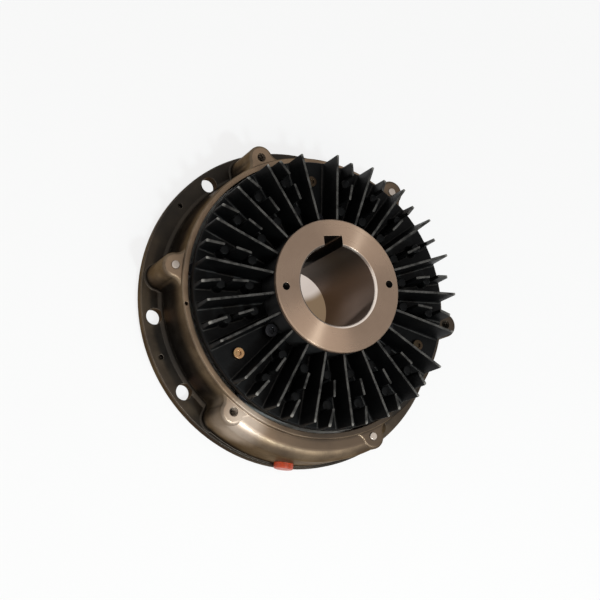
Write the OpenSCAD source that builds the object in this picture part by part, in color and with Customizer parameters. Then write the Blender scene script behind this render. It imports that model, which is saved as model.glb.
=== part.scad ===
// Tension control brake: a flange-mounted, air-applied disc brake with a finned rotor on a hollow hub.
// Millimetres. The origin is the centre of the mounting face, +Z runs along the shaft to the fins,
// and the air port points along -Y.

/* [Mounting flange] */
// Width of the flange outside the foot of the drum wall
flange_w = 17; // [16.5:0.5:30]
// Thickness of the mounting flange
flange_t = 8; // [7:0.5:9]
// Diameter of each mounting hole
bolt_hole_d = 13; // [8:0.5:14]
// Gap between the mounting holes and the foot of the drum wall
bolt_wall_gap = 0.25; // [0.1:0.05:1]
// Diameter of the blind locating holes in the flange
locating_hole_d = 4; // [2:0.5:5]
// How much farther out than the mounting holes the locating holes lie
locating_offset = 3; // [1:0.5:5]
// Depth of the locating holes
locating_hole_depth = 5; // [2:0.5:6]

/* [Housing drum] */
// Height of the rim's front face above the mounting face
rim_z = 52.5; // [51.5:0.5:54]
// Thickness of the drum wall at its rim
drum_wall_t = 4.5; // [4:0.1:6]
// How much the drum wall widens towards the flange
wall_draft = 1.5; // [0.5:0.1:2]
// Radius of the cast fillet between the drum wall and the flange
wall_fillet = 4; // [1:0.5:6]
// Diameter of the gauge hole in the rim face
gauge_hole_d = 3; // [1:0.5:3.5]
// Depth of the gauge hole
gauge_hole_depth = 6; // [2:0.5:10]

/* [Lobes and port pad] */
// Radius of each round lobe
lobe_r = 10; // [8:0.5:11]
// Distance from the drum's rim out to the lobes' centres
lobe_offset = 5.3; // [4:0.1:6.5]
// How far the lobes' front faces lie behind the rim
lobe_drop = 2.5; // [1:0.5:6]
// Radius of the concave blend between a lobe and the drum wall
lobe_blend = 9; // [4:0.5:12]
// Radius that rounds the front edge of each lobe
lobe_edge = 2.5; // [1:0.5:4]
// Radius of the cast fillet at a lobe's foot
foot_fillet = 2; // [1:0.25:2.5]
// Diameter of the tapped hole in each open lobe
lobe_hole_d = 7; // [5:0.5:9]
// Diameter of the dowels in the other lobes
dowel_d = 6.4; // [4:0.1:8]
// Depth of the hole in each lobe
lobe_hole_depth = 20; // [10:1:30]
// How far a dowel stands out of its lobe
dowel_proud = 0.8; // [0.5:0.1:3]
// How far the port pad ends inside the flange's edge
pad_inset = 2; // [1.2:0.1:2.5]
// Radius that rounds the front edge of the port pad
pad_edge = 9; // [4:0.5:12]

/* [Air port] */
// Diameter of the threaded mouth of the air port
port_d = 13.2; // [9:0.1:14]
// Depth of the threaded mouth
port_depth = 14; // [8:0.5:15]
// Diameter of the passage from the port to the air cylinder
passage_d = 6; // [3:0.5:6]
// Diameter of the plug's head
plug_head_d = 15.4; // [14.8:0.1:17]
// Thickness of the plug's head
plug_head_t = 5; // [2:0.5:8]
// Gap between the plug's head and the flange
plug_flange_gap = 0.3; // [0.3:0.1:1]

/* [Air cylinder and piston] */
// Thickness of the wall between the bearings and the air cylinder
boss_wall_t = 8.5; // [7:0.1:9.5]
// Radial width of the ring-shaped air cylinder
cylinder_w = 32; // [29:0.5:35]
// Radial width of the ledge that carries the spring screws
ledge_w = 11; // [10:0.1:12.5]
// Height of the cylinder floor above the mounting face
cylinder_floor_z = 13; // [12:0.1:13.5]
// Gap under the piston and its flange when the brake is off
piston_rest_gap = 1; // [0.6:0.1:1.5]
// Height of the piston, from its bottom to its friction seat
piston_h = 20; // [18:0.1:21]
// Thickness of the piston's outer flange
piston_flange_t = 6.5; // [5:0.1:7]
// Diameter of the section of each seal ring
seal_section_d = 4.2; // [3:0.1:4.6]
// Height of the seal rings' middle above the piston's bottom
seal_above_bottom = 8.6; // [8:0.1:9]

/* [Friction parts] */
// Thickness of the pressure plate
pressure_plate_t = 6; // [5:0.1:7]
// Thickness of the friction facings
facing_t = 8.4; // [7:0.1:9]
// Distance from the bearing boss to the facings
facing_inner_gap = 4; // [3.6:0.1:6]
// How far the facings' outer edge lies inside the cylinder's outer wall
facing_outer_gap = 2; // [1.6:0.1:6]
// Number of facing segments
facing_count = 6; // [4:1:8]
// Width of the slot between two facing segments
facing_slot = 4; // [2:0.5:8]
// Thickness of the wear plate
wear_plate_t = 5; // [4:0.1:6]
// Gap between the hub's flange and the wear plate
wear_plate_gap = 4; // [1:0.1:6]
// How far the wear plate ends inside the rotor's edge
wear_plate_inset = 1.5; // [0.5:0.1:4]
// Distance of the wear plate screws from the wear plate's edge
wear_screw_edge = 16; // [13:0.5:19]
// Diameter of the wear plate screws' heads
wear_screw_head_d = 8.4; // [7.5:0.1:10]
// How deep the wear plate screws reach into the wear plate
wear_screw_depth = 3.2; // [2:0.1:3.6]

/* [Release springs] */
// Number of release springs and of the screws that hold them
spring_count = 6; // [3:1:6]
// Diameter of the spring screws' shanks
spring_screw_d = 6; // [5:0.1:6.2]
// Height of the spring screws' heads
spring_head_h = 4; // [3:0.1:4.5]
// Gap between the spring screws' heads and the wear plate
spring_head_gap = 1; // [0.6:0.1:1.5]
// Gap between the spring screws' heads and the drum's bore
spring_side_gap = 0.5; // [0.4:0.1:1]
// Diameter of the spring wire
spring_wire_d = 0.9; // [0.7:0.1:1]
// Number of turns in a release spring
spring_turns = 4; // [3:0.5:5]

/* [Finned rotor] */
// Gap between the rotor's edge and the drum's bore
rotor_gap = 1.5; // [1:0.1:3]
// Thickness of the rotor's plate
rotor_plate_t = 6; // [5:0.5:9]
// Height of the fins above the rotor's plate
fin_h = 23; // [12:0.5:25]
// Number of long fins, a multiple of the three screw bays
long_fins = 21; // [15:3:24]
// Thickness of a fin along its top
fin_top_t = 2; // [1.2:0.1:2.6]
// Thickness of a fin at its root
fin_root_t = 3.6; // [2.8:0.1:4.4]
// Height of the cast flare at a fin's root
fin_flare = 1.6; // [0.5:0.1:2]
// Distance from the hub's collar to the inner short fins
inner_fin_offset = 20.25; // [19:0.25:24]
// Length of each inner short fin
inner_fin_length = 13; // [6:0.5:13]
// Length of each outer short fin
outer_fin_length = 13.5; // [6:0.5:15]
// How much an outer short fin drops below the long fins at its inner end
outer_fin_drop = 1.5; // [0:0.5:4]
// How much an outer short fin drops below the long fins at the rotor's edge
outer_fin_tip_drop = 8; // [4:0.5:11]
// Radius of the round pads between the short fins
fin_pad_r = 3.8; // [2:0.1:4]
// Height of the round pads above the rotor's plate
fin_pad_h = 10; // [3:0.5:11]
// Gap between an outer pad and its short fin
outer_pad_gap = 0.4; // [0.3:0.1:2]
// Distance from the hub's collar to the inner pads' centres
inner_pad_offset = 14.25; // [12:0.25:14.5]
// Angle of the keyway at rest, from +Y towards -X
rotor_turn = 13; // [0:1:20]

/* [Hub] */
// Diameter of the shaft bore
shaft_d = 63.5; // [40:0.5:70]
// Width of the keyway
key_w = 15.9; // [8:0.1:18]
// Depth of the keyway in the bore
key_depth = 7.35; // [4:0.05:8]
// Wall left between the keyway and the bearing journal
hub_wall_t = 5.9; // [4:0.1:8]
// How far the front collar stands out beyond the bearing journal
collar_w = 7.25; // [6:0.25:9]
// How far the collar's front face stands above the fins
collar_proud = 4; // [1:0.5:10]
// How far the rotor's seat stands out beyond the collar
hub_flange_w = 11.75; // [11.5:0.25:13]
// Diameter of each tapped hole in the hub's front face
tapped_hole_d = 6; // [4:0.5:7]
// Distance of the tapped holes from the collar's edge
tapped_hole_edge = 7.95; // [5:0.05:9]
// Depth of the tapped holes
tapped_hole_depth = 16; // [8:1:24]
// Gap between the hub screws' heads and the collar
hub_screw_gap = 1.15; // [0.5:0.05:1.5]
// Diameter of the hub screws' shanks
hub_screw_d = 6; // [5:0.5:7]
// Diameter of the hub screws' heads
hub_screw_head_d = 10; // [8:0.5:10.5]
// Length of the hub behind its retaining ring
hub_end_land = 3.8; // [2:0.05:4.5]

/* [Bearings] */
// Radial height of each bearing, from its bore to its outside
bearing_h = 12.5; // [12:0.1:14]
// Width of each bearing
bearing_w = 13; // [12:0.1:14]
// Radial thickness of a bearing ring at its shoulder
ring_t = 4.4; // [4:0.1:4.6]
// Diameter of the bearing balls
ball_d = 7.2; // [6:0.1:7.4]
// Number of balls in each bearing
ball_count = 24; // [16:1:28]
// Length of the spacers between the two bearings
spacer_length = 7; // [6:0.1:8]
// Thickness of the ring that holds the bearings in the housing
housing_ring_t = 3; // [2:0.1:3.5]
// Thickness of the ring that holds the bearings on the hub
hub_ring_t = 2.65; // [2:0.05:3]

/* [Clearances] */
// Gap on each side between pieces that are fitted together
fit_gap = 0.05; // [0.02:0.01:0.08]
// Gap on each side between the sliding piston and its cylinder
slide_gap = 0.1; // [0.06:0.01:0.14]
// Gap around the balls in their races and cages
ball_gap = 0.3; // [0.25:0.05:0.35]
// Gap between the turning hub and the bearing boss behind it
boss_gap = 2; // [1:0.1:3]
// Travel left between the facings and the wear plate when the brake is off
air_gap = 1.6; // [1.3:0.1:2]

/* [Hidden] */
$fn = 96;

// A small overlap that makes a cut pass right through
cut = 1;
// How far a blend runs into the face that it meets
bite = 0.1;
// Chamfer on machined edges
edge = 0.8;

// Radii, from the shaft outwards
keyway_reach = shaft_d / 2 + key_depth;
journal_r = keyway_reach + hub_wall_t;
seat_r = journal_r + bearing_h;
cylinder_inner_r = seat_r + boss_wall_t;
cylinder_outer_r = cylinder_inner_r + cylinder_w;
drum_bore_r = cylinder_outer_r + ledge_w;
rim_r = drum_bore_r + drum_wall_t;
wall_root_r = rim_r + wall_draft;
flange_r = wall_root_r + flange_w;

// Heights of the friction parts, from the cylinder floor to the rotor
piston_z = cylinder_floor_z + piston_rest_gap;
piston_top_z = piston_z + piston_h;
piston_flange_z = piston_top_z - piston_flange_t;
ledge_z = piston_flange_z - piston_rest_gap;
facing_z = piston_top_z + pressure_plate_t;
facing_top_z = facing_z + facing_t;
wear_plate_z = facing_top_z + air_gap;
rotor_z = wear_plate_z + wear_plate_t;
rotor_top_z = rotor_z + rotor_plate_t;
fin_top_z = rotor_top_z + fin_h;
hub_front_z = fin_top_z + collar_proud;

// Heights of the bearings, from the hub's flange back to its rear end
hub_flange_t = 6;
boss_land = 3;
hub_flange_z = rotor_z - hub_flange_t;
boss_z = hub_flange_z - boss_gap;
bearings_end_z = boss_z - boss_land - housing_ring_t;
front_bearing_z = bearings_end_z - bearing_w;
rear_bearing_z = front_bearing_z - spacer_length - bearing_w;
hub_groove_z = rear_bearing_z - hub_ring_t - fit_gap;
hub_rear_z = hub_groove_z - hub_end_land;

// Housing
bolt_at = wall_root_r + bolt_wall_gap + bolt_hole_d / 2;
locating_at = bolt_at + locating_offset;
mounting_angles = [45, 135, 225, 315];
spare_hole_angles = [195, 345];
locating_angles = [150, 210];
gauge_angle = 195;
gauge_at = (rim_r + drum_bore_r) / 2;
lobe_at = rim_r + lobe_offset;
lobe_z = rim_z - lobe_drop;
open_lobe_angles = [0, 120, 240];
dowel_angles = [60, 180, 300];
lobe_angles = concat(open_lobe_angles, dowel_angles);
dowel_end_gap = 2;
port_angle = 270;
// How far the pad's front face lies below the lobes'
pad_step = 0.3;
// The pad's sides end inside its two lobes
lobe_to_port_angle = 30;
pad_half_angle = 29;
// The pad's outline is one circle that runs just inside the far side of both lobes and reaches pad_reach
pad_reach = flange_r - pad_inset;
pad_wrap_r = lobe_r - 3 * bite;
pad_centre = (pow(pad_reach - pad_wrap_r, 2) - pow(lobe_at, 2))
    / (2 * (pad_reach - pad_wrap_r - lobe_at * cos(lobe_to_port_angle)));
pad_r = pad_reach - pad_centre;

// Air port
plug_head_r = plug_head_d / 2;
plug_edge = 1.2;
plug_end_gap = 2.5;
port_z = flange_t + plug_head_r + plug_flange_gap;
port_face_depth = 0.5;
port_face_at = pad_reach - port_face_depth;
port_r = port_d / 2;

// Bearings and their retaining rings
lip_step = 0.4;
lip_r = seat_r - ring_t + lip_step;
ball_r = ball_d / 2;
ball_circle_r = (seat_r + journal_r) / 2;
cage_ring_gap = 0.7;
cage_half_t = bearing_h / 2 - ring_t - cage_ring_gap;
cage_half_w = ball_r + 1.3;
housing_ring_groove = 2.5;
housing_ring_w = 6;
housing_ear_inset = 3;
hub_ring_groove = 1.8;
hub_ring_w = 5.5;
ring_gap_w = 8;
ring_ear_r = 2.6;

// Piston and friction parts
piston_flange_r = drum_bore_r - 0.7;
piston_inner_r = cylinder_inner_r + slide_gap;
piston_outer_r = cylinder_outer_r - slide_gap;
piston_bevel = 3;
seal_r = seal_section_d / 2;
seal_z = piston_z + seal_above_bottom;
facing_inner_r = cylinder_inner_r + facing_inner_gap;
facing_outer_r = cylinder_outer_r - facing_outer_gap;
facing_screw_at = (facing_inner_r + facing_outer_r) / 2;
facing_screw_spread = 60 / facing_count;
facing_screw_r = 2;
facing_screw_depth = 6;
facing_tap_depth = 6.5;
facing_slot_w = 1;
facing_head_r = 4;
facing_head_t = 3;
facing_head_z = facing_z + 2;
plate_inner_r = facing_inner_r - 3;
plate_outer_r = facing_outer_r + 1;

// Release springs stand on the piston's flange, under the heads of their screws
spring_at = cylinder_outer_r + ledge_w / 2;
spring_head_z = wear_plate_z - spring_head_gap - spring_head_h;
spring_length = spring_head_z - piston_top_z;
spring_head_r = ledge_w / 2 - spring_side_gap;
spring_screw_r = spring_screw_d / 2;
spring_coil_r = spring_screw_r + 0.9;
spring_wire_r = spring_wire_d / 2;
spring_screw_depth = 12;
spring_tip_gap = 1;

// Hub
collar_r = journal_r + collar_w;
hub_flange_r = collar_r + hub_flange_w;
shoulder_w = 5;
shoulder_r = journal_r + shoulder_w;
tapped_hole_at = collar_r - tapped_hole_edge;
hub_screw_r = hub_screw_d / 2;
hub_screw_at = collar_r + hub_screw_gap + hub_screw_head_d / 2;
hub_screw_head_h = 6;
socket_share = 0.5;

// Rotor and wear plate
rotor_r = drum_bore_r - rotor_gap;
rotor_bore_r = collar_r + fit_gap;
// The long fins come in three equal groups, one between each pair of screw bays
group_fins = round(long_fins / 3);
fin_count = 3 * group_fins;
screw_bays = [0, group_fins, 2 * group_fins];
bay_angle = 360 / fin_count;
// How far the fins end inside the rotor's edge, and start outside its bore
fin_inset = 0.3;
inner_fin_start = collar_r + inner_fin_offset;
outer_fin_start = rotor_r - outer_fin_length;
inner_pad_at = collar_r + inner_pad_offset;
outer_pad_at = outer_fin_start - outer_pad_gap - fin_pad_r;
wear_plate_outer_r = rotor_r - wear_plate_inset;
wear_plate_inner_r = hub_flange_r + wear_plate_gap;
wear_screw_at = wear_plate_outer_r - wear_screw_edge;
wear_screw_r = 3;
wear_screw_head_h = 3.2;
wear_tap_depth = wear_screw_depth + 0.3;

// Ring with a square section, from z to z + h
module tube(outer_r, inner_r, z, h) {
    translate([0, 0, z])
    difference() {
        cylinder(r = outer_r, h = h);
        translate([0, 0, -cut]) cylinder(r = inner_r, h = h + 2 * cut);
    }
}

// Straight hole or bar along Z, from z to z + h
module bar(r, z, h) {
    translate([0, 0, z]) cylinder(r = r, h = h);
}

// Places its children at a distance from the axis, at each of the angles
module around(angles, at) {
    for (a = angles)
        rotate([0, 0, a]) translate([at, 0, 0]) children();
}

// Turns a rotor piece to its angle at rest
module turned() {
    rotate([0, 0, 90 + rotor_turn]) children();
}

// Outline of the flange, the drum wall and the fillet between them, to be revolved
module housing_profile() {
    polygon([
        [0, 0], [flange_r - edge, 0], [flange_r, edge],
        [flange_r, flange_t - edge], [flange_r - edge, flange_t], [0, flange_t]
    ]);
    polygon([
        [0, flange_t / 2], [wall_root_r, flange_t / 2], [wall_root_r, flange_t],
        [rim_r, rim_z - edge], [rim_r - edge, rim_z], [0, rim_z]
    ]);
    difference() {
        translate([wall_root_r - cut, flange_t - cut]) square(wall_fillet + cut);
        translate([wall_root_r + wall_fillet, flange_t + wall_fillet]) circle(wall_fillet + bite);
    }
}

// Fills one round column, with its front edge rounded, from inside the flange up to z
module rounded_column(r, edge_r, z) {
    rotate_extrude() {
        translate([0, flange_t / 2]) square([r, z - edge_r - flange_t / 2]);
        translate([0, flange_t / 2]) square([r - edge_r, z - flange_t / 2]);
        translate([r - edge_r, z - edge_r]) circle(edge_r);
    }
}

// Cast fillet round the foot of a column of radius r
module column_foot(r) {
    rotate_extrude()
    difference() {
        translate([r - cut, flange_t - cut]) square(foot_fillet + cut);
        translate([r + foot_fillet, flange_t + foot_fillet - bite]) circle(foot_fillet);
    }
}

// What is cut from a web to leave a concave side of radius r, which flares out to round its front edge
// and in to leave a fillet at its foot
module concave_cutter(r, edge_r, z) {
    foot_z = flange_t - bite;
    rotate_extrude() {
        translate([0, foot_z]) square([r - foot_fillet, z - foot_z + cut]);
        translate([0, foot_z + foot_fillet]) square([r, z - foot_z - foot_fillet + cut]);
        translate([r - foot_fillet, foot_z + foot_fillet]) circle(foot_fillet);
        difference() {
            translate([0, z - edge_r]) square([r + edge_r, edge_r + cut]);
            translate([r + edge_r, z - edge_r]) circle(edge_r);
        }
    }
}

// One lobe along +X: a round column, and a web that blends it into the drum wall on each side
module lobe() {
    reach = rim_r + lobe_blend;
    blend_angle = acos((pow(reach, 2) + pow(lobe_at, 2) - pow(lobe_r + lobe_blend, 2)) / (2 * lobe_at * reach));
    blend_x = reach * cos(blend_angle);
    blend_y = reach * sin(blend_angle);
    translate([lobe_at, 0, 0]) {
        rounded_column(lobe_r, lobe_edge, lobe_z);
        column_foot(lobe_r);
    }
    difference() {
        linear_extrude(lobe_z)
            polygon([[0, 0], [blend_x, -blend_y], [lobe_at, 0], [blend_x, blend_y]]);
        for (side = [-1, 1])
            translate([blend_x, side * blend_y, 0]) concave_cutter(lobe_blend + bite, lobe_edge, lobe_z);
    }
}

// The crowned pad that carries the air port, between the two lowest lobes
module port_pad() {
    far = 2 * pad_reach;
    rotate([0, 0, port_angle])
    intersection() {
        translate([pad_centre, 0, 0]) rounded_column(pad_r, pad_edge, lobe_z - pad_step);
        linear_extrude(lobe_z + cut)
        polygon([
            [0, 0],
            [far * cos(pad_half_angle), -far * sin(pad_half_angle)],
            [far * cos(pad_half_angle), far * sin(pad_half_angle)]
        ]);
    }
}

// Everything that is bored out of the casting round the shaft axis, as one revolved outline
module housing_cavity() {
    rotate_extrude()
    polygon([
        [0, -cut], [lip_r, -cut], [lip_r, rear_bearing_z], [seat_r, rear_bearing_z],
        [seat_r, bearings_end_z], [seat_r + housing_ring_groove, bearings_end_z],
        [seat_r + housing_ring_groove, bearings_end_z + housing_ring_t + 2 * fit_gap],
        [seat_r, bearings_end_z + housing_ring_t + 2 * fit_gap], [seat_r, boss_z],
        [cylinder_inner_r, boss_z], [cylinder_inner_r, cylinder_floor_z],
        [cylinder_outer_r, cylinder_floor_z], [cylinder_outer_r, ledge_z],
        [drum_bore_r, ledge_z], [drum_bore_r, rim_z + cut], [0, rim_z + cut]
    ]);
}

// Points its children from the shaft axis out through the air port
module along_port() {
    translate([0, 0, port_z]) rotate([0, 90, port_angle]) children();
}

// One casting: flange, drum, lobes, port pad, ring-shaped air cylinder and bearing boss
module brake_housing() {
    color([0.33, 0.3, 0.26])
    difference() {
        union() {
            rotate_extrude() housing_profile();
            around(lobe_angles, 0) lobe();
            port_pad();
        }
        housing_cavity();
        around(mounting_angles, bolt_at) bar(bolt_hole_d / 2, -cut, flange_t + 2 * cut);
        around(spare_hole_angles, bolt_at) bar(bolt_hole_d / 2, -cut, flange_t + 2 * cut);
        around(locating_angles, locating_at)
            bar(locating_hole_d / 2, flange_t - locating_hole_depth, locating_hole_depth + cut);
        around([gauge_angle], gauge_at) bar(gauge_hole_d / 2, rim_z - gauge_hole_depth, gauge_hole_depth + cut);
        around(open_lobe_angles, lobe_at)
            bar(lobe_hole_d / 2, lobe_z - lobe_hole_depth, lobe_hole_depth + cut);
        around(dowel_angles, lobe_at)
            bar(dowel_d / 2 + fit_gap, lobe_z - lobe_hole_depth, lobe_hole_depth + cut);
        around(spring_angles(), spring_at)
            bar(spring_screw_r + fit_gap, ledge_z - spring_screw_depth, spring_screw_depth + cut);
        along_port() {
            bar(plug_head_r + 0.2, port_face_at, flange_r);
            bar(port_r, port_face_at - port_depth, port_depth + cut);
            bar(passage_d / 2, cylinder_outer_r - 2, port_face_at - port_depth - cylinder_outer_r + 2 + cut);
        }
    }
}

function spring_angles() = [for (i = [0 : spring_count - 1]) i * 360 / spring_count];

// Push-in plastic plug that closes the air port until a hose is fitted
module air_port_plug() {
    shank = port_depth - plug_end_gap;
    color([0.86, 0.27, 0.16])
    along_port()
    translate([0, 0, port_face_at])
    rotate_extrude() {
        translate([0, -shank]) square([port_r - slide_gap, shank + cut]);
        square([plug_head_r, plug_head_t - plug_edge]);
        square([plug_head_r - plug_edge, plug_head_t]);
        translate([plug_head_r - plug_edge, plug_head_t - plug_edge]) circle(plug_edge);
    }
}

// Three ground dowels, one in every other lobe
module lobe_dowels() {
    dowel_r = dowel_d / 2;
    length = lobe_hole_depth - dowel_end_gap;
    color([0.78, 0.74, 0.68])
    around(dowel_angles, lobe_at)
    translate([0, 0, lobe_z + dowel_proud - length])
    rotate_extrude()
    polygon([[0, 0], [dowel_r, 0], [dowel_r, length - edge / 2], [dowel_r - edge / 2, length], [0, length]]);
}

// Groove that the balls run in, round the shaft axis at height z
module ball_race(z) {
    translate([0, 0, z])
    rotate_extrude()
    translate([ball_circle_r, 0]) circle(ball_r + ball_gap);
}

module bearing_outer_ring(z) {
    color([0.62, 0.63, 0.64])
    difference() {
        tube(seat_r - fit_gap, seat_r - ring_t, z, bearing_w);
        ball_race(z + bearing_w / 2);
    }
}

module bearing_inner_ring(z) {
    color([0.62, 0.63, 0.64])
    difference() {
        tube(journal_r + ring_t, journal_r + fit_gap, z, bearing_w);
        ball_race(z + bearing_w / 2);
    }
}

module bearing_balls(z) {
    color([0.8, 0.81, 0.82])
    for (i = [0 : ball_count - 1])
        rotate([0, 0, i * 360 / ball_count])
        translate([ball_circle_r, 0, z + bearing_w / 2]) sphere(ball_r);
}

// Brass ring with one round window for each ball
module bearing_cage(z) {
    color([0.72, 0.56, 0.3])
    difference() {
        tube(ball_circle_r + cage_half_t, ball_circle_r - cage_half_t, z + bearing_w / 2 - cage_half_w, 2 * cage_half_w);
        for (i = [0 : ball_count - 1])
            rotate([0, 0, i * 360 / ball_count])
            translate([ball_circle_r - 2 * cage_half_t, 0, z + bearing_w / 2])
            rotate([0, 90, 0]) cylinder(r = ball_r + ball_gap, h = 4 * cage_half_t);
    }
}

module rear_bearing_outer_ring() { bearing_outer_ring(rear_bearing_z); }
module front_bearing_outer_ring() { bearing_outer_ring(front_bearing_z); }
module rear_bearing_inner_ring() { bearing_inner_ring(rear_bearing_z); }
module front_bearing_inner_ring() { bearing_inner_ring(front_bearing_z); }
module rear_bearing_cage() { bearing_cage(rear_bearing_z); }
module front_bearing_cage() { bearing_cage(front_bearing_z); }
module rear_bearing_balls() { bearing_balls(rear_bearing_z); }
module front_bearing_balls() { bearing_balls(front_bearing_z); }

// Spacer between the two outer rings
module outer_spacer() {
    color([0.5, 0.5, 0.5])
    tube(seat_r - fit_gap, lip_r, rear_bearing_z + bearing_w, spacer_length);
}

// Spacer between the two inner rings
module inner_spacer() {
    color([0.5, 0.5, 0.5])
    tube(journal_r + ring_t - lip_step, journal_r + fit_gap, rear_bearing_z + bearing_w, spacer_length);
}

// Flat split ring with two eared ends; the ears lie at ears_at from the axis
module split_ring(outer_r, inner_r, z, t, ears_at) {
    ear_angle = asin((ring_gap_w / 2 + 0.85 * ring_ear_r) / ears_at);
    color([0.3, 0.3, 0.31])
    translate([0, 0, z])
    linear_extrude(t)
    difference() {
        union() {
            difference() {
                circle(outer_r);
                circle(inner_r);
                translate([0, -ring_gap_w / 2]) square([2 * outer_r, ring_gap_w]);
            }
            around([-ear_angle, ear_angle], ears_at) circle(ring_ear_r);
        }
        around([-ear_angle, ear_angle], ears_at) circle(ring_ear_r / 2);
    }
}

// Spreads into the housing's groove in front of the bearings
module housing_retaining_ring() {
    outer_r = seat_r + housing_ring_groove - fit_gap;
    split_ring(outer_r, outer_r - housing_ring_w, bearings_end_z + fit_gap, housing_ring_t, seat_r - housing_ear_inset);
}

// Snaps into the hub's groove behind the rear bearing
module hub_retaining_ring() {
    inner_r = journal_r - hub_ring_groove + fit_gap;
    rotate([0, 0, rotor_turn + 90])
    split_ring(inner_r + hub_ring_w, inner_r, rear_bearing_z - hub_ring_t, hub_ring_t, journal_r + ring_ear_r);
}

// Shoulder screws that hold the release springs down on the piston's flange
module spring_screws() {
    shank_z = ledge_z - spring_screw_depth + spring_tip_gap;
    color([0.22, 0.22, 0.23])
    around(spring_angles(), spring_at)
    difference() {
        union() {
            bar(spring_screw_r, shank_z, spring_head_z - shank_z + cut / 2);
            bar(spring_head_r, spring_head_z, spring_head_h);
        }
        translate([0, 0, spring_head_z + spring_head_h * (1 - socket_share)])
            cylinder(r = spring_head_r / 2, h = spring_head_h, $fn = 6);
    }
}

// Points of one ring of a coil's wire, where t runs from 0 to 1 along the coil
function wire_ring(t, sides) = [
    for (s = [0 : sides - 1])
        let (around_wire = s * 360 / sides, turn = t * 360 * spring_turns,
            r = spring_coil_r + spring_wire_r * cos(around_wire))
        [r * cos(turn), r * sin(turn),
            spring_wire_r + t * (spring_length - 2 * spring_wire_r) + spring_wire_r * sin(around_wire)]
];

// One compression spring: its wire swept along a helix
module coil_spring() {
    sides = 6;
    steps = ceil(spring_turns * 14);
    points = [for (i = [0 : steps]) each wire_ring(i / steps, sides)];
    walls = [for (i = [0 : steps - 1], s = [0 : sides - 1])
        [i * sides + s, i * sides + (s + 1) % sides, (i + 1) * sides + (s + 1) % sides, (i + 1) * sides + s]];
    start = [for (s = [sides - 1 : -1 : 0]) s];
    finish = [for (s = [0 : sides - 1]) steps * sides + s];
    polyhedron(points = points, faces = concat([start], walls, [finish]));
}

// Return springs that lift the piston off the rotor when the air is let out
module release_springs() {
    color([0.55, 0.56, 0.58])
    around(spring_angles(), spring_at)
    translate([0, 0, piston_top_z]) coil_spring();
}

// Ring piston with a wide flange for the springs, two seal grooves and tapped holes for the facings
module piston() {
    groove_h = seal_section_d + 1;
    groove_depth = seal_section_d + 2 * fit_gap - slide_gap;
    lower = seal_z - groove_h / 2;
    upper = seal_z + groove_h / 2;
    color([0.6, 0.6, 0.58])
    difference() {
        rotate_extrude()
        polygon([
            [piston_inner_r, piston_z], [piston_outer_r - piston_bevel, piston_z],
            [piston_outer_r, piston_z + piston_bevel], [piston_outer_r, lower],
            [piston_outer_r - groove_depth, lower], [piston_outer_r - groove_depth, upper],
            [piston_outer_r, upper], [piston_outer_r, piston_flange_z],
            [piston_flange_r, piston_flange_z], [piston_flange_r, piston_top_z],
            [piston_inner_r, piston_top_z], [piston_inner_r, upper],
            [piston_inner_r + groove_depth, upper], [piston_inner_r + groove_depth, lower],
            [piston_inner_r, lower]
        ]);
        around(spring_angles(), spring_at)
            bar(spring_screw_r + 0.4, piston_flange_z - cut, piston_flange_t + 2 * cut);
        around(facing_screw_angles(), facing_screw_at)
            bar(facing_screw_r + fit_gap, piston_top_z - facing_tap_depth, facing_tap_depth + cut);
    }
}

// Rubber ring at radius r in one of the piston's grooves
module seal_ring(r) {
    color([0.08, 0.08, 0.08])
    translate([0, 0, seal_z])
    rotate_extrude()
    translate([r, 0]) circle(seal_r);
}

module piston_outer_seal() { seal_ring(cylinder_outer_r - fit_gap - seal_r); }
module piston_inner_seal() { seal_ring(cylinder_inner_r + fit_gap + seal_r); }

function facing_screw_angles() = [
    for (i = [0 : facing_count - 1], side = [-1, 1])
        (i + 0.5) * 360 / facing_count + side * facing_screw_spread
];

// Steel ring that backs the friction facings
module pressure_plate() {
    color([0.48, 0.48, 0.5])
    difference() {
        tube(plate_outer_r, plate_inner_r, piston_top_z, pressure_plate_t);
        around(facing_screw_angles(), facing_screw_at)
            bar(facing_screw_r + fit_gap, piston_top_z - cut, pressure_plate_t + 2 * cut);
    }
}

// Segments of friction material with recessed screw seats
module friction_facings() {
    far = 2 * facing_outer_r;
    color([0.36, 0.29, 0.22])
    difference() {
        tube(facing_outer_r, facing_inner_r, facing_z, facing_t);
        for (i = [0 : facing_count - 1])
            rotate([0, 0, i * 360 / facing_count])
            translate([0, -facing_slot / 2, facing_z - cut]) cube([far, facing_slot, facing_t + 2 * cut]);
        around(facing_screw_angles(), facing_screw_at) {
            bar(facing_screw_r + fit_gap, facing_z - cut, facing_t);
            bar(facing_head_r + fit_gap, facing_head_z, facing_t);
        }
    }
}

// Screws that clamp each facing and the pressure plate to the piston
module facing_screws() {
    shank_z = piston_top_z - facing_screw_depth;
    color([0.7, 0.62, 0.36])
    around(facing_screw_angles(), facing_screw_at)
    difference() {
        union() {
            bar(facing_screw_r, shank_z, facing_head_z - shank_z + cut / 2);
            bar(facing_head_r, facing_head_z, facing_head_t);
        }
        translate([-facing_head_r, -facing_slot_w / 2, facing_head_z + facing_head_t / 2])
            cube([2 * facing_head_r, facing_slot_w, facing_head_t]);
    }
}

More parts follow.
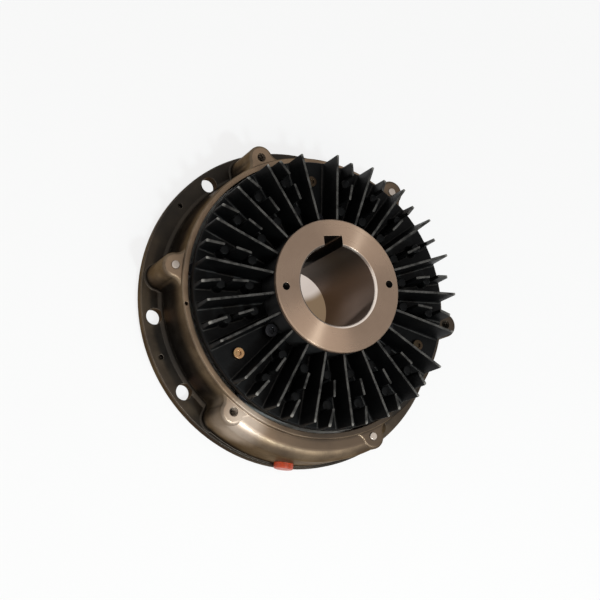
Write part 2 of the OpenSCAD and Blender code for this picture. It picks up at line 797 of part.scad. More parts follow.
// Hollow hub: bearing journal, shoulder, rotor flange and the machined front collar, keyed right through
module hub() {
    color([0.68, 0.6, 0.52])
    turned()
    difference() {
        rotate_extrude()
        polygon([
            [0, hub_rear_z], [journal_r - edge, hub_rear_z], [journal_r, hub_rear_z + edge],
            [journal_r, hub_groove_z], [journal_r - hub_ring_groove, hub_groove_z],
            [journal_r - hub_ring_groove, rear_bearing_z], [journal_r, rear_bearing_z],
            [journal_r, bearings_end_z], [shoulder_r, bearings_end_z], [shoulder_r, hub_flange_z],
            [hub_flange_r, hub_flange_z], [hub_flange_r, rotor_z], [collar_r, rotor_z],
            [collar_r, hub_front_z - edge], [collar_r - edge, hub_front_z], [0, hub_front_z]
        ]);
        bar(shaft_d / 2, hub_rear_z - cut, hub_front_z - hub_rear_z + 2 * cut);
        translate([0, -key_w / 2, hub_rear_z - cut])
            cube([keyway_reach, key_w, hub_front_z - hub_rear_z + 2 * cut]);
        around([90, 270], tapped_hole_at)
            bar(tapped_hole_d / 2, hub_front_z - tapped_hole_depth, tapped_hole_depth + cut);
        around(screw_bay_angles(), hub_screw_at)
            bar(hub_screw_r + fit_gap, hub_flange_z - cut, hub_flange_t + 2 * cut);
    }
}

function screw_bay_angles() = [for (bay = screw_bays) bay * bay_angle];

// A fin along +X with drafted sides and a flared root; its top runs from top_start to top_end
module fin(start, length, top_start, top_end) {
    root = fin_root_t / 2;
    top = fin_top_t / 2;
    intersection() {
        translate([start, 0, rotor_top_z])
        rotate([90, 0, 90])
        linear_extrude(length)
        polygon([
            [-root - fin_flare, -cut], [root + fin_flare, -cut], [root + fin_flare, 0], [root, fin_flare],
            [top, fin_h], [-top, fin_h], [-root, fin_flare], [-root - fin_flare, 0]
        ]);
        rotate([90, 0, 0])
        linear_extrude(4 * fin_root_t, center = true)
        polygon([
            [start, rotor_top_z - cut], [start + length, rotor_top_z - cut],
            [start + length, top_end], [start, top_start]
        ]);
    }
}

// What stands in an ordinary bay: an inner fin, an outer fin and a round pad inside each of them
module short_fins() {
    fin(inner_fin_start, inner_fin_length, fin_top_z, fin_top_z);
    fin(outer_fin_start, outer_fin_length - fin_inset,
        fin_top_z - outer_fin_drop, fin_top_z - outer_fin_tip_drop);
    for (at = [inner_pad_at, outer_pad_at])
        translate([at, 0, 0]) bar(fin_pad_r, rotor_top_z - cut, fin_pad_h + cut);
}

// Cast cooling rotor: a plate with long fins, and split short fins in every bay without a screw
module finned_rotor() {
    long_start = rotor_bore_r + fin_inset;
    color([0.1, 0.11, 0.12])
    turned()
    difference() {
        union() {
            tube(rotor_r, rotor_bore_r, rotor_z, rotor_plate_t);
            for (i = [0 : fin_count - 1])
                rotate([0, 0, (i + 0.5) * bay_angle])
                fin(long_start, rotor_r - fin_inset - long_start, fin_top_z, fin_top_z);
            for (i = [0 : fin_count - 1])
                if (len(search(i, screw_bays)) == 0)
                    rotate([0, 0, i * bay_angle]) short_fins();
        }
        around(screw_bay_angles(), wear_screw_at)
            bar(wear_screw_r + fit_gap, rotor_z - cut, rotor_plate_t + 2 * cut);
        around(screw_bay_angles(), hub_screw_at)
            bar(hub_screw_r + fit_gap, rotor_z - cut, rotor_plate_t + 2 * cut);
    }
}

// Ground steel ring that the facings press on
module wear_plate() {
    color([0.55, 0.55, 0.56])
    turned()
    difference() {
        tube(wear_plate_outer_r, wear_plate_inner_r, wear_plate_z, wear_plate_t);
        around(screw_bay_angles(), wear_screw_at)
            bar(wear_screw_r + fit_gap, rotor_z - wear_tap_depth, wear_tap_depth + cut);
    }
}

// Cap screw standing on the rotor's plate, with a hexagon socket and depth of shank below the plate's top
module cap_screw(shank_r, head_r, head_h, depth) {
    difference() {
        union() {
            bar(shank_r, rotor_top_z - depth, depth + cut / 2);
            bar(head_r, rotor_top_z, head_h);
        }
        translate([0, 0, rotor_top_z + head_h * (1 - socket_share)])
            cylinder(r = head_r * 0.55, h = head_h, $fn = 6);
    }
}

// Plated screws that hold the wear plate, one in each open bay
module wear_plate_screws() {
    color([0.74, 0.6, 0.34])
    turned()
    around(screw_bay_angles(), wear_screw_at)
        cap_screw(wear_screw_r, wear_screw_head_d / 2, wear_screw_head_h, rotor_plate_t + wear_screw_depth);
}

// Black cap screws that hold the rotor on the hub's flange
module hub_screws() {
    color([0.12, 0.12, 0.13])
    turned()
    around(screw_bay_angles(), hub_screw_at)
        cap_screw(hub_screw_r, hub_screw_head_d / 2, hub_screw_head_h, rotor_plate_t + hub_flange_t - edge);
}

brake_housing();
air_port_plug();
lobe_dowels();
rear_bearing_outer_ring();
front_bearing_outer_ring();
outer_spacer();
housing_retaining_ring();
spring_screws();
release_springs();
piston();
piston_outer_seal();
piston_inner_seal();
pressure_plate();
friction_facings();
facing_screws();
rear_bearing_cage();
rear_bearing_balls();
front_bearing_cage();
front_bearing_balls();
hub();
finned_rotor();
wear_plate();
wear_plate_screws();
hub_screws();
rear_bearing_inner_ring();
front_bearing_inner_ring();
inner_spacer();
hub_retaining_ring();
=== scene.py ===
"""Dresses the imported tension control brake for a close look.

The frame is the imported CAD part, in metres: +Z runs along the shaft to the fins, and the air port points
along -Y. Lengths in the property groups are in metres too. Every piece is a function of its sizes, and is
made once, at rest.
"""

import math

import bmesh
import bpy
import numpy as np
from mathutils import Matrix, Vector


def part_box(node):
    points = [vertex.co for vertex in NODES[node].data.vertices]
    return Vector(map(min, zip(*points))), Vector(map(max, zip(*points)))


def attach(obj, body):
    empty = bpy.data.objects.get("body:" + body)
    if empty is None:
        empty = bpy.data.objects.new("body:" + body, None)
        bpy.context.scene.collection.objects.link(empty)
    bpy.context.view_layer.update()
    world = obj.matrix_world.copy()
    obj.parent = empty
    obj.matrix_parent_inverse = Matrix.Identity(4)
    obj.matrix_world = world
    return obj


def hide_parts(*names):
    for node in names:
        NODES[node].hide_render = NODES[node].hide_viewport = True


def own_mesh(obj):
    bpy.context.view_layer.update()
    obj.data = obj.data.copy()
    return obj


bl_info = {
    "name": "Tension Control Brake",
    "version": (1, 0, 0),
    "blender": (4, 5, 0),
    "location": "3D View > Sidebar > Brake",
    "description": "Builds the looks of a flange-mounted disc brake with a finned rotor on its CAD frame",
    "category": "Object",
}

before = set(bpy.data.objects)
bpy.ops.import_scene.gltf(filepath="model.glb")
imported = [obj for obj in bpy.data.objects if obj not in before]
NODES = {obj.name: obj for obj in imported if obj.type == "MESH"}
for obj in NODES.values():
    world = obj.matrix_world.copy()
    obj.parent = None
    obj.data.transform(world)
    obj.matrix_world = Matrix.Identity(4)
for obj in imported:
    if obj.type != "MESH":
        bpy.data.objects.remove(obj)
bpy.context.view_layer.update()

MM = 0.001

# Sizes of the CAD part that the finer pieces follow
FLANGE_TOP = 8.0 * MM
OPEN_LOBES = (0, 120, 240)
LOBE_AT = 118.8 * MM
LOBE_HOLE_RADIUS = 3.5 * MM
DOWEL_PROUD = 0.8 * MM
SPRING_AT = 103.5 * MM
SPRING_LOW = 34.0 * MM
SPRING_HIGH = 45.0 * MM
LONG_FINS = 21
BAY = 2 * math.pi / LONG_FINS
SCREW_BAYS = (0, 7, 14)
PLATE_THICKNESS = 6.0 * MM
PLATE_BORE = 52.3 * MM
BORE_RADIUS = 31.75 * MM
TAPPED_HOLE_AT = 44.3 * MM
TAPPED_HOLE_RADIUS = 3.0 * MM


def top_of(node):
    """Height of a CAD node's highest point."""
    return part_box(node)[1].z


def bottom_of(node):
    """Height of a CAD node's lowest point."""
    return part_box(node)[0].z


# Sizes and colours that a user would change


class BrakeSizes(bpy.types.PropertyGroup):
    """Sizes of the pieces that are made here around the CAD frame."""

    fin_top: bpy.props.FloatProperty(
        name="Fin top width", description="Thickness of a fin along its top",
        default=2.0 * MM, min=0.0005, max=0.004, unit="LENGTH")
    fin_root: bpy.props.FloatProperty(
        name="Fin root width", description="Thickness of a fin where it meets the plate",
        default=3.6 * MM, min=0.001, max=0.006, unit="LENGTH")
    fin_fillet: bpy.props.FloatProperty(
        name="Fin fillet", description="Radius of the cast fillet at a fin's root",
        default=1.6 * MM, min=0.0005, max=0.003, unit="LENGTH")
    fin_round: bpy.props.FloatProperty(
        name="Fin edge rounding", description="Radius that rounds a fin's top edges",
        default=0.45 * MM, min=0.0001, max=0.0009, unit="LENGTH")
    fin_nose: bpy.props.FloatProperty(
        name="Fin nose", description="Length over which a fin's two ends are rounded",
        default=0.55 * MM, min=0.0002, max=0.003, unit="LENGTH")
    fin_unevenness: bpy.props.FloatProperty(
        name="Fin unevenness", description="How far a cast fin strays from its true place at its top",
        default=0.22 * MM, min=0.0, max=0.001, unit="LENGTH")
    bore_chamfer: bpy.props.FloatProperty(
        name="Bore chamfer", description="Width of the chamfer at the front of the hub's bore",
        default=1.7 * MM, min=0.0002, max=0.003, unit="LENGTH")
    rotor_angle: bpy.props.FloatProperty(
        name="Rotor angle", description="Angle of the keyway at rest, from +X",
        default=math.radians(103), subtype="ANGLE", unit="ROTATION")
    spring_wire: bpy.props.FloatProperty(
        name="Spring wire", description="Diameter of the release springs' wire",
        default=0.9 * MM, min=0.0003, max=0.002, unit="LENGTH")
    spring_turns: bpy.props.FloatProperty(
        name="Spring turns", description="Number of turns in each release spring",
        default=4.0, min=2.0, max=8.0)
    lobe_thread_pitch: bpy.props.FloatProperty(
        name="Lobe thread pitch", description="Pitch of the thread in the open lobes",
        default=1.25 * MM, min=0.0005, max=0.002, unit="LENGTH")
    hub_thread_pitch: bpy.props.FloatProperty(
        name="Hub thread pitch", description="Pitch of the thread in the hub's tapped holes",
        default=1.0 * MM, min=0.0005, max=0.002, unit="LENGTH")


def colour_property(name, description, default):
    """One colour with its label and default."""
    return bpy.props.FloatVectorProperty(
        name=name, description=description, default=default, size=3, min=0.0, max=1.0, subtype="COLOR")


class BrakeFinishes(bpy.types.PropertyGroup):
    """Colours of the finishes, as linear light."""

    casting: colour_property("Casting", "Oiled grey-brown iron of the housing", (0.165, 0.122, 0.080))
    casting_dark: colour_property("Casting, dark", "Darker skin of the housing", (0.085, 0.062, 0.043))
    # Painted shade and dark reflection: the colour that darkens the flange, the wall's foot and low wall, the
    # lower level faces and the right side
    casting_shade: colour_property(
        "Casting, painted shade", "Painted shade on the flange, low on the wall and on the right side",
        (0.019, 0.017, 0.015))
    # Colour of the rubbed edges, and also of the painted highlight beside the lobe next to the port pad
    casting_rub_and_highlight: colour_property("Casting, rubbed and highlit", "Rubbed edges and painted highlight of the housing", (0.48, 0.40, 0.33))
    casting_cut: colour_property("Casting, machined", "Machined faces of the housing", (0.19, 0.130, 0.086))
    fin_black: colour_property("Fin black", "Black paint of the finned rotor", (0.0025, 0.0026, 0.0028))
    fin_worn: colour_property("Fin worn", "Grey where the fins' paint is rubbed off", (0.088, 0.084, 0.079))
    turned: colour_property("Turned iron", "Machined face of the hub", (0.235, 0.162, 0.115))
    ground: colour_property("Ground steel", "Wear plate, spacers and pressure plate", (0.34, 0.33, 0.32))
    bearing: colour_property("Bearing steel", "Rings and balls of the bearings", (0.50, 0.50, 0.49))
    spring: colour_property("Spring steel", "Release springs", (0.30, 0.30, 0.31))
    black_oxide: colour_property("Black oxide", "Blackened screws and retaining rings", (0.025, 0.025, 0.028))
    plated: colour_property("Yellow plating", "Screws of the wear plate", (0.31, 0.175, 0.085))
    brass: colour_property("Brass", "Bearing cages and facing screws", (0.50, 0.34, 0.13))
    aluminium: colour_property("Cast aluminium", "Piston", (0.42, 0.42, 0.40))
    friction: colour_property("Friction material", "Facings", (0.115, 0.085, 0.06))
    rubber: colour_property("Seal rubber", "Seal rings", (0.012, 0.012, 0.012))
    plug: colour_property("Plug red", "Plastic plug of the air port", (0.45, 0.045, 0.006))


class StageSettings(bpy.types.PropertyGroup):
    """Camera, floor and lamps."""

    lens: bpy.props.FloatProperty(
        name="Lens", description="Focal length on a 36 mm sensor", default=72.0, unit="CAMERA")
    camera_at: bpy.props.FloatVectorProperty(
        name="Camera place", description="Where the camera stands", default=(-0.3774, -0.2665, 0.8784),
        size=3, subtype="TRANSLATION", unit="LENGTH")
    camera_right: bpy.props.FloatVectorProperty(
        name="Camera right", description="Direction that is to the right in the picture",
        default=(0.9012, 0.0920, 0.4238), size=3, subtype="DIRECTION")
    camera_up: bpy.props.FloatVectorProperty(
        name="Camera up", description="Direction that is up in the picture",
        default=(-0.1981, 0.9567, 0.2137), size=3, subtype="DIRECTION")
    floor_colour: colour_property("Floor", "Pale floor", (0.95, 0.95, 0.95))
    floor_white: bpy.props.FloatProperty(
        name="Floor's own white",
        description="Share of plain white where the floor shows near the brake; the rest is lit and shaded",
        default=0.8, min=0.0, max=1.0, subtype="FACTOR")
    floor_size: bpy.props.FloatProperty(
        name="Floor size", description="Side of the floor", default=6.0, unit="LENGTH")
    key_power: bpy.props.FloatProperty(
        name="Key lamp", description="Power of the large side lamp", default=6.0, min=0.0)
    top_power: bpy.props.FloatProperty(
        name="Top lamp", description="Power of the overhead lamp", default=9.0, min=0.0)
    glint_power: bpy.props.FloatProperty(
        name="Glint lamp", description="Power of the small lamp that draws the hub's streaks",
        default=6.0, min=0.0)
    sky: bpy.props.FloatProperty(
        name="Room light", description="Strength that comes from all sides", default=0.05, min=0.0)
    walls: bpy.props.FloatProperty(
        name="Wall light", description="Strength from low on the left, less from the right, none from above",
        default=0.8, min=0.0)


def sizes():
    """The sizes of this scene."""
    return bpy.context.scene.brake_sizes


def finishes():
    """The colours of this scene."""
    return bpy.context.scene.brake_finishes


def stage_settings():
    """The stage settings of this scene."""
    return bpy.context.scene.brake_stage


# Shader building


class Graph:
    """The nodes of a material or the world: they are added with their values, and helpers return sockets."""

    def __init__(self, tree):
        self.nodes = tree.nodes
        self.links = tree.links
        self.nodes.clear()

    def add(self, kind, inputs=None, **settings):
        """A node of this kind; inputs maps a socket's name or number to a value or to another socket."""
        node = self.nodes.new(kind)
        for key, value in settings.items():
            setattr(node, key, value)
        for key, value in (inputs or {}).items():
            if isinstance(value, bpy.types.NodeSocket):
                self.links.new(value, node.inputs[key])
            else:
                node.inputs[key].default_value = value
        return node

    def math(self, operation, first, second, clamp=False):
        """A sum, product or other operation on two numbers, kept between 0 and 1 if asked."""
        node = self.add("ShaderNodeMath", {0: first, 1: second}, operation=operation, use_clamp=clamp)
        return node.outputs[0]

    def times(self, first, *others):
        """Product of masks and numbers."""
        product = first
        for other in others:
            product = self.math("MULTIPLY", product, other)
        return product

    def either(self, first, *others):
        """The strongest of several masks."""
        strongest = first
        for other in others:
            strongest = self.math("MAXIMUM", strongest, other)
        return strongest

    def outside(self, mask):
        """1 where the mask is 0, and 0 where it is 1."""
        return self.math("SUBTRACT", 1.0, mask)

    def band(self, value, low, high, out_low=0.0, out_high=1.0):
        """The value mapped from low..high to out_low..out_high, clamped, with soft ends."""
        return self.add("ShaderNodeMapRange", {
            "Value": value, "From Min": low, "From Max": high, "To Min": out_low, "To Max": out_high},
            interpolation_type="SMOOTHSTEP").outputs["Result"]

    def backdrop_rays(self):
        """1 for rays that show the backdrop: from the camera, off glossy surfaces and through clear ones."""
        rays = self.nodes.new("ShaderNodeLightPath").outputs
        seen = self.math("ADD", rays["Is Camera Ray"], rays["Is Glossy Ray"], clamp=True)
        return self.math("ADD", seen, rays["Is Transmission Ray"], clamp=True)


class Finish(Graph):
    """One procedural material, placed by the object's own coordinates."""

    def __init__(self, name):
        self.material = bpy.data.materials.new(name + "_finish")
        self.material.use_nodes = True
        super().__init__(self.material.node_tree)
        self.output = self.nodes.new("ShaderNodeOutputMaterial")
        self.shader = self.nodes.new("ShaderNodeBsdfPrincipled")
        self.links.new(self.shader.outputs["BSDF"], self.output.inputs["Surface"])
        self.place = self.nodes.new("ShaderNodeTexCoord").outputs["Object"]

    def set(self, **inputs):
        """Values or sockets of the surface shader; an underscore stands for a space."""
        for key, value in inputs.items():
            socket = self.shader.inputs[key.replace("_", " ")]
            if isinstance(value, bpy.types.NodeSocket):
                self.links.new(value, socket)
            elif socket.type == "RGBA":
                socket.default_value = (*value, 1.0)
            else:
                socket.default_value = value

    def mix(self, share, first, second, blend="MIX"):
        """Colour mix of first and second by share."""
        node = self.add("ShaderNodeMix", data_type="RGBA", blend_type=blend)
        for socket, value in zip((node.inputs[0], node.inputs[6], node.inputs[7]), (share, first, second)):
            if isinstance(value, bpy.types.NodeSocket):
                self.links.new(value, socket)
            else:
                socket.default_value = value if isinstance(value, float) else (*value, 1.0)
        return node.outputs[2]

    def axes(self):
        """Places along X, along Y and up from the mounting face."""
        return self.add("ShaderNodeSeparateXYZ", {0: self.place}).outputs

    def along(self, direction):
        """Distance from the shaft axis along a level direction."""
        return self.add("ShaderNodeVectorMath", {0: self.place, 1: direction},
                        operation="DOT_PRODUCT").outputs["Value"]

    def from_axis(self):
        """Distance from the shaft axis."""
        flat = self.add("ShaderNodeVectorMath", {0: self.place, 1: (1.0, 1.0, 0.0)}, operation="MULTIPLY")
        return self.add("ShaderNodeVectorMath", {0: flat.outputs[0]}, operation="LENGTH").outputs["Value"]

    def near(self, centre, reach, core):
        """1 within core of a point, fading to 0 at reach."""
        apart = self.add("ShaderNodeVectorMath", {0: self.place, 1: centre}, operation="DISTANCE")
        return self.band(apart.outputs["Value"], reach, core)

    def faces_up(self, low):
        """1 on level faces above a height, 0 elsewhere."""
        normal = self.nodes.new("ShaderNodeNewGeometry").outputs["True Normal"]
        upward = self.add("ShaderNodeSeparateXYZ", {0: normal}).outputs["Z"]
        return self.times(self.band(upward, 0.96, 0.99), self.band(self.axes()["Z"], low - 0.1 * MM, low))

    def edges(self, radius, sharpness=6.0):
        """1 along edges that stand out or fall in within radius, 0 on flat ground."""
        true = self.nodes.new("ShaderNodeNewGeometry").outputs["Normal"]
        turn = self.add("ShaderNodeVectorMath", {0: self.rounded(radius), 1: true}, operation="DOT_PRODUCT")
        return self.math("MULTIPLY", self.outside(turn.outputs["Value"]), sharpness, clamp=True)

    def noise(self, per_metre, detail=3.0, roughness=0.5):
        """Cloudy noise from 0 to 1 with this many cells to the metre."""
        return self.add("ShaderNodeTexNoise", {
            "Vector": self.place, "Scale": per_metre, "Detail": detail,
            "Roughness": roughness}).outputs["Fac"]

    def rings(self, per_metre, detail=2.0, roughness=0.5):
        """Turning marks: noise along the distance from the axis."""
        return self.add("ShaderNodeTexNoise", {
            "W": self.times(self.from_axis(), per_metre), "Scale": 1.0, "Detail": detail,
            "Roughness": roughness}, noise_dimensions="1D").outputs["Fac"]

    def cells(self, per_metre):
        """Distance to the nearest cell centre, for flecks."""
        cells = self.add("ShaderNodeTexVoronoi", {"Vector": self.place, "Scale": per_metre})
        return cells.outputs["Distance"]

    def rounded(self, radius):
        """Normal that rounds sharp edges over radius."""
        return self.add("ShaderNodeBevel", {"Radius": radius}, samples=6).outputs["Normal"]

    def bump(self, height, strength, distance, below=None):
        """Normal that follows a height, over another normal if one is given."""
        inputs = {"Height": height, "Strength": strength, "Distance": distance}
        if below is not None:
            inputs["Normal"] = below
        return self.add("ShaderNodeBump", inputs).outputs["Normal"]


# Finishes


def flange_and_wall_shade(f, reach):
    """Where the housing's painted shade and dark reflection lie: on the flange, less so on its outer band on
    the port's side, which is left lighter where the light falls, round the foot of the wall and the lobes, and
    up the wall between them."""
    # Painted shade: darker on the flange, in the crease at the wall's foot and low on the wall, where shade
    # and dark reflections fall; the flange's outer band towards the port is left lighter where the light falls
    _, across, height = f.axes()
    lit_band = f.times(f.band(reach, 122 * MM, 128 * MM), f.band(across, 45 * MM, 15 * MM, 0.0, 0.42),
                         f.band(across, -108 * MM, -94 * MM))
    flange = f.times(f.band(height, FLANGE_TOP + 0.8 * MM, FLANGE_TOP + 0.2 * MM), f.outside(lit_band))
    foot = f.times(f.band(height, FLANGE_TOP + 9 * MM, FLANGE_TOP + 2 * MM),
                   f.band(height, FLANGE_TOP - 0.4 * MM, FLANGE_TOP + 0.2 * MM))
    low_wall = f.times(f.band(height, 47 * MM, 33 * MM), f.band(reach, 118.5 * MM, 116.5 * MM),
                       f.band(across, -97 * MM, -86 * MM, 0.25, 1.0))
    patchy = f.band(f.noise(30.0, 3.0), 0.3, 0.7, 1.0, 0.86)
    return f.times(f.either(flange, foot, low_wall), patchy)


def right_side_shadow(f):
    """Painted shadow on the right side, above the flange: deeper towards the right, and deepest beside the
    lobe at the lower right."""
    sideways, across, height = f.axes()
    deepening = f.times(f.band(sideways, 20 * MM, 90 * MM, 0.0, 0.85), f.band(across, -80 * MM, -50 * MM))
    beside_lobe = f.times(f.band(sideways, 68 * MM, 76 * MM, 0.0, 0.96), f.band(across, -50 * MM, -60 * MM))
    above_flange = f.band(height, FLANGE_TOP + 0.2 * MM, FLANGE_TOP + 12 * MM)
    return f.times(f.either(deepening, beside_lobe), above_flange)


def housing_casting():
    """Oiled iron casting: brown-grey blotches, fine sand grain, slow hollows, rubbed edges, painted shade and
    dark reflection on the flange, low on the wall and on the right side, machined front faces, a painted
    shadow on the lower level faces, a turned mounting face, and a painted highlight on the wall beside the
    lobe next to the port pad."""
    f = Finish("housing_casting")
    c = finishes()
    sideways, across, height = f.axes()
    reach = f.from_axis()
    blotch = f.noise(38.0, 4.0, 0.55)
    grain = f.noise(900.0, 3.0, 0.6)
    hollows = f.noise(60.0, 2.0, 0.5)
    rings = f.rings(900.0)
    skin = f.mix(f.band(blotch, 0.38, 0.64), c.casting_dark, c.casting)
    skin = f.mix(f.band(grain, 0.35, 0.75, 0.0, 0.35), skin, c.casting_dark)
    # Painted shade and dark reflection on the flange, at the wall's foot and low on the wall
    skin = f.mix(flange_and_wall_shade(f, reach), skin, c.casting_shade)
    rub = f.times(f.edges(0.9 * MM), f.band(f.noise(110.0, 3.0), 0.32, 0.62, 0.5, 1.0), 0.22)
    skin = f.mix(rub, skin, c.casting_rub_and_highlight)

    cut = f.faces_up(top_of("lobe_dowels") - DOWEL_PROUD - 0.4 * MM)
    skin = f.mix(f.times(cut, f.band(blotch, 0.3, 0.6, 0.55, 0.9)), skin, c.casting_cut)
    mount = f.band(height, 0.06 * MM, 0.02 * MM)
    skin = f.mix(f.times(mount, f.band(blotch, 0.3, 0.6, 0.75, 0.95)), skin, c.casting_cut)
    skin = f.mix(f.times(mount, f.band(rings, 0.35, 0.65, 0.0, 0.35)), skin, c.casting)

    # Painted shadow on the level faces on the lower side, deeper towards the right, where the fins' shadow
    # falls
    rim_shadow = f.times(f.band(across, -40 * MM, -70 * MM), f.band(sideways, -62 * MM, 10 * MM, 0.0, 0.8),
                     f.band(reach, 113.5 * MM, 116 * MM, 1.0, 0.75))
    skin = f.mix(f.times(cut, rim_shadow), skin, c.casting_shade)
    # Painted shadow on the right side above the flange
    skin = f.mix(right_side_shadow(f), skin, c.casting_shade)
    # Painted highlight on the wall beside the lobe next to the port pad, where a lamp glances off
    lobe_highlight = f.near((-50 * MM, -106 * MM, 38 * MM), 27 * MM, 8 * MM)
    skin = f.mix(f.times(lobe_highlight, f.band(blotch, 0.35, 0.6, 0.65, 0.95)), skin, c.casting_rub_and_highlight)

    normal = f.bump(hollows, 0.22, 0.5 * MM, f.rounded(0.7 * MM))
    normal = f.bump(grain, 0.12, 0.05 * MM, normal)
    normal = f.bump(f.times(rings, mount), 0.25, 0.03 * MM, normal)
    rough = f.band(f.noise(120.0, 4.0), 0.3, 0.7, 0.36, 0.46)
    f.set(Base_Color=skin, Roughness=rough, Metallic=0.9, Normal=normal, Specular_IOR_Level=0.3,
          Specular_Tint=(0.50, 0.42, 0.34))
    return f.material


def black_casting():
    """Black paint over a casting: fine grain, dusty patches, grey where edges and the fins' crowns are
    rubbed, and bright tips at the fins' outer ends."""
    f = Finish("black_casting")
    c = finishes()
    dusty, bright_tip = (0.006, 0.006, 0.006), (0.42, 0.40, 0.37)
    grain = f.noise(1100.0, 3.0, 0.6)
    patch = f.noise(95.0, 3.0, 0.6)
    crown = f.add("ShaderNodeAttribute", attribute_name="crown").outputs["Fac"]
    rub = f.math("ADD", f.times(f.edges(0.6 * MM, 4.0), 0.4), crown, clamp=True)
    rub = f.times(rub, f.band(patch, 0.34, 0.62, 0.18, 1.0))
    skin = f.mix(f.band(f.noise(70.0, 3.0), 0.35, 0.7, 0.0, 0.5), c.fin_black, dusty)
    skin = f.mix(rub, skin, c.fin_worn)
    skin = f.mix(f.times(crown, patch, f.band(f.from_axis(), 104 * MM, 106.5 * MM)), skin, bright_tip)
    rough = f.math("ADD", f.band(patch, 0.3, 0.7, 0.38, 0.52), f.times(rub, 0.06))
    normal = f.bump(f.noise(220.0, 2.0), 0.30, 0.25 * MM)
    normal = f.bump(grain, 0.35, 0.07 * MM, normal)
    f.set(Base_Color=skin, Roughness=rough, Normal=normal, Specular_IOR_Level=0.3, IOR=1.2)
    return f.material


def hub_recesses(f, reach, height):
    """The hub's keyway and tapped holes, between its two end faces."""
    front, rear = top_of("hub"), bottom_of("hub")
    between_faces = f.times(f.band(height, front, front - 0.4 * MM), f.band(height, rear, rear + 0.4 * MM))
    keyway = f.times(f.band(reach, 32.0 * MM, 32.6 * MM), f.band(reach, 39.6 * MM, 39.4 * MM))
    tapped = f.times(f.band(reach, 40.0 * MM, 40.3 * MM), f.band(reach, 49.0 * MM, 48.5 * MM),
                     f.band(height, front - 17.0 * MM, front - 16.5 * MM))
    return f.times(f.math("ADD", keyway, tapped), between_faces), between_faces


def machined_hub():
    """Turned iron: fine rings round the axis that stretch its highlights, slight stains and lighter edges. The
    bore is greyer, with a painted shadow towards the keyway, the recesses are painted near black as shade, the
    bore's lip has a painted highlight on the right, and the outside behind the front face's edge is painted
    black."""
    f = Finish("machined_hub")
    c = finishes()
    stained, bright_ring, light_edge = (0.190, 0.128, 0.088), (0.31, 0.235, 0.18), (0.45, 0.38, 0.31)
    # The bore's own grey, and the colour of the painted highlight on the bore's lip
    bore_grey, lip_highlight = (0.23, 0.175, 0.148), (0.80, 0.70, 0.62)
    # Colours of the painted shadow on the keyway's side of the bore and the painted shade in the recesses
    keyway_side_shadow, recess_shade = (0.012, 0.010, 0.008), (0.006, 0.005, 0.004)
    height, reach, front = f.axes()["Z"], f.from_axis(), top_of("hub")
    rings = f.rings(2200.0, 3.0, 0.7)
    stain = f.noise(55.0, 5.0, 0.6)
    skin = f.mix(f.band(stain, 0.35, 0.72, 0.0, 0.45), c.turned, stained)
    skin = f.mix(f.band(rings, 0.3, 0.7, 0.0, 0.25), skin, bright_ring)
    skin = f.mix(f.times(f.edges(0.5 * MM), 0.4), skin, light_edge)

    recesses, between_faces = hub_recesses(f, reach, height)
    inside = f.either(f.times(f.band(reach, 32.6 * MM, 32.2 * MM), between_faces), recesses)
    skin = f.mix(f.times(inside, f.band(stain, 0.2, 0.8, 0.66, 0.78)), skin, bore_grey)
    to_keyway = f.along((math.cos(sizes().rotor_angle), math.sin(sizes().rotor_angle), 0.0))
    # Painted shadow on the keyway's side of the bore
    skin = f.mix(f.times(inside, f.band(to_keyway, 8 * MM, 26 * MM, 0.0, 0.85)), skin, keyway_side_shadow)
    # Painted shade: the keyway and the tapped holes darkened near black
    skin = f.mix(recesses, skin, recess_shade)

    # Painted highlight on the right side of the bore's lip, where it faces the light
    lip = f.times(f.band(reach, 33.6 * MM, 33.4 * MM), f.band(height, front - 1.8 * MM, front - 1.6 * MM))
    rubbed = f.band(f.along((0.87, -0.5, 0.0)), 8 * MM, 27 * MM, 0.1, 1.0)
    skin = f.mix(f.times(lip, rubbed), skin, lip_highlight)
    painted = f.times(f.band(reach, 51.6 * MM, 51.9 * MM),
                      f.band(height, front - 3.4 * MM, front - 3.8 * MM))
    skin = f.mix(painted, skin, c.fin_black)

    rough = f.math("ADD", f.band(stain, 0.3, 0.7, 0.25, 0.28), f.times(f.rings(700.0), 0.06))
    normal = f.bump(rings, 0.15, 0.03 * MM, f.rounded(0.35 * MM))
    tangent = f.add("ShaderNodeTangent", direction_type="RADIAL", axis="Z").outputs["Tangent"]
    f.set(Base_Color=skin, Roughness=rough, Metallic=f.times(0.9, f.outside(painted)), Anisotropic=0.97,
          Anisotropic_Rotation=0.25, Normal=normal, Tangent=tangent)
    return f.material


def darker(value, share):
    """A colour at a share of its light."""
    return tuple(x * share for x in value)


def worked_steel(name, base, dull, rough_low, rough_high, edge_light=0.5, grain_per_metre=2400.0):
    """Plain worked metal: smudges between two colours, fine grain and lighter edges."""
    f = Finish(name)
    smudge = f.noise(85.0, 4.0, 0.55)
    grain = f.noise(grain_per_metre, 2.0, 0.5)
    light = tuple(min(1.0, 0.3 + 0.9 * x) for x in base)
    skin = f.mix(f.band(smudge, 0.35, 0.7), base, dull)
    skin = f.mix(f.times(f.edges(0.4 * MM), edge_light), skin, light)
    rough = f.band(smudge, 0.3, 0.7, rough_low, rough_high)
    normal = f.bump(grain, 0.2, 0.02 * MM, f.rounded(0.3 * MM))
    f.set(Base_Color=skin, Roughness=rough, Metallic=1.0, Normal=normal)
    return f.material


def ground_steel():
    """Grey ground rings and plates."""
    base = finishes().ground
    return worked_steel("ground_steel", base, darker(base, 0.7), 0.28, 0.42)


def turned_steel():
    """Bright turned dowels with a warm cast."""
    return worked_steel("turned_steel", (0.36, 0.31, 0.27), (0.26, 0.22, 0.19), 0.32, 0.44)


def bearing_steel():
    """Polished rings and balls."""
    base = finishes().bearing
    return worked_steel("bearing_steel", base, darker(base, 0.85), 0.12, 0.22)


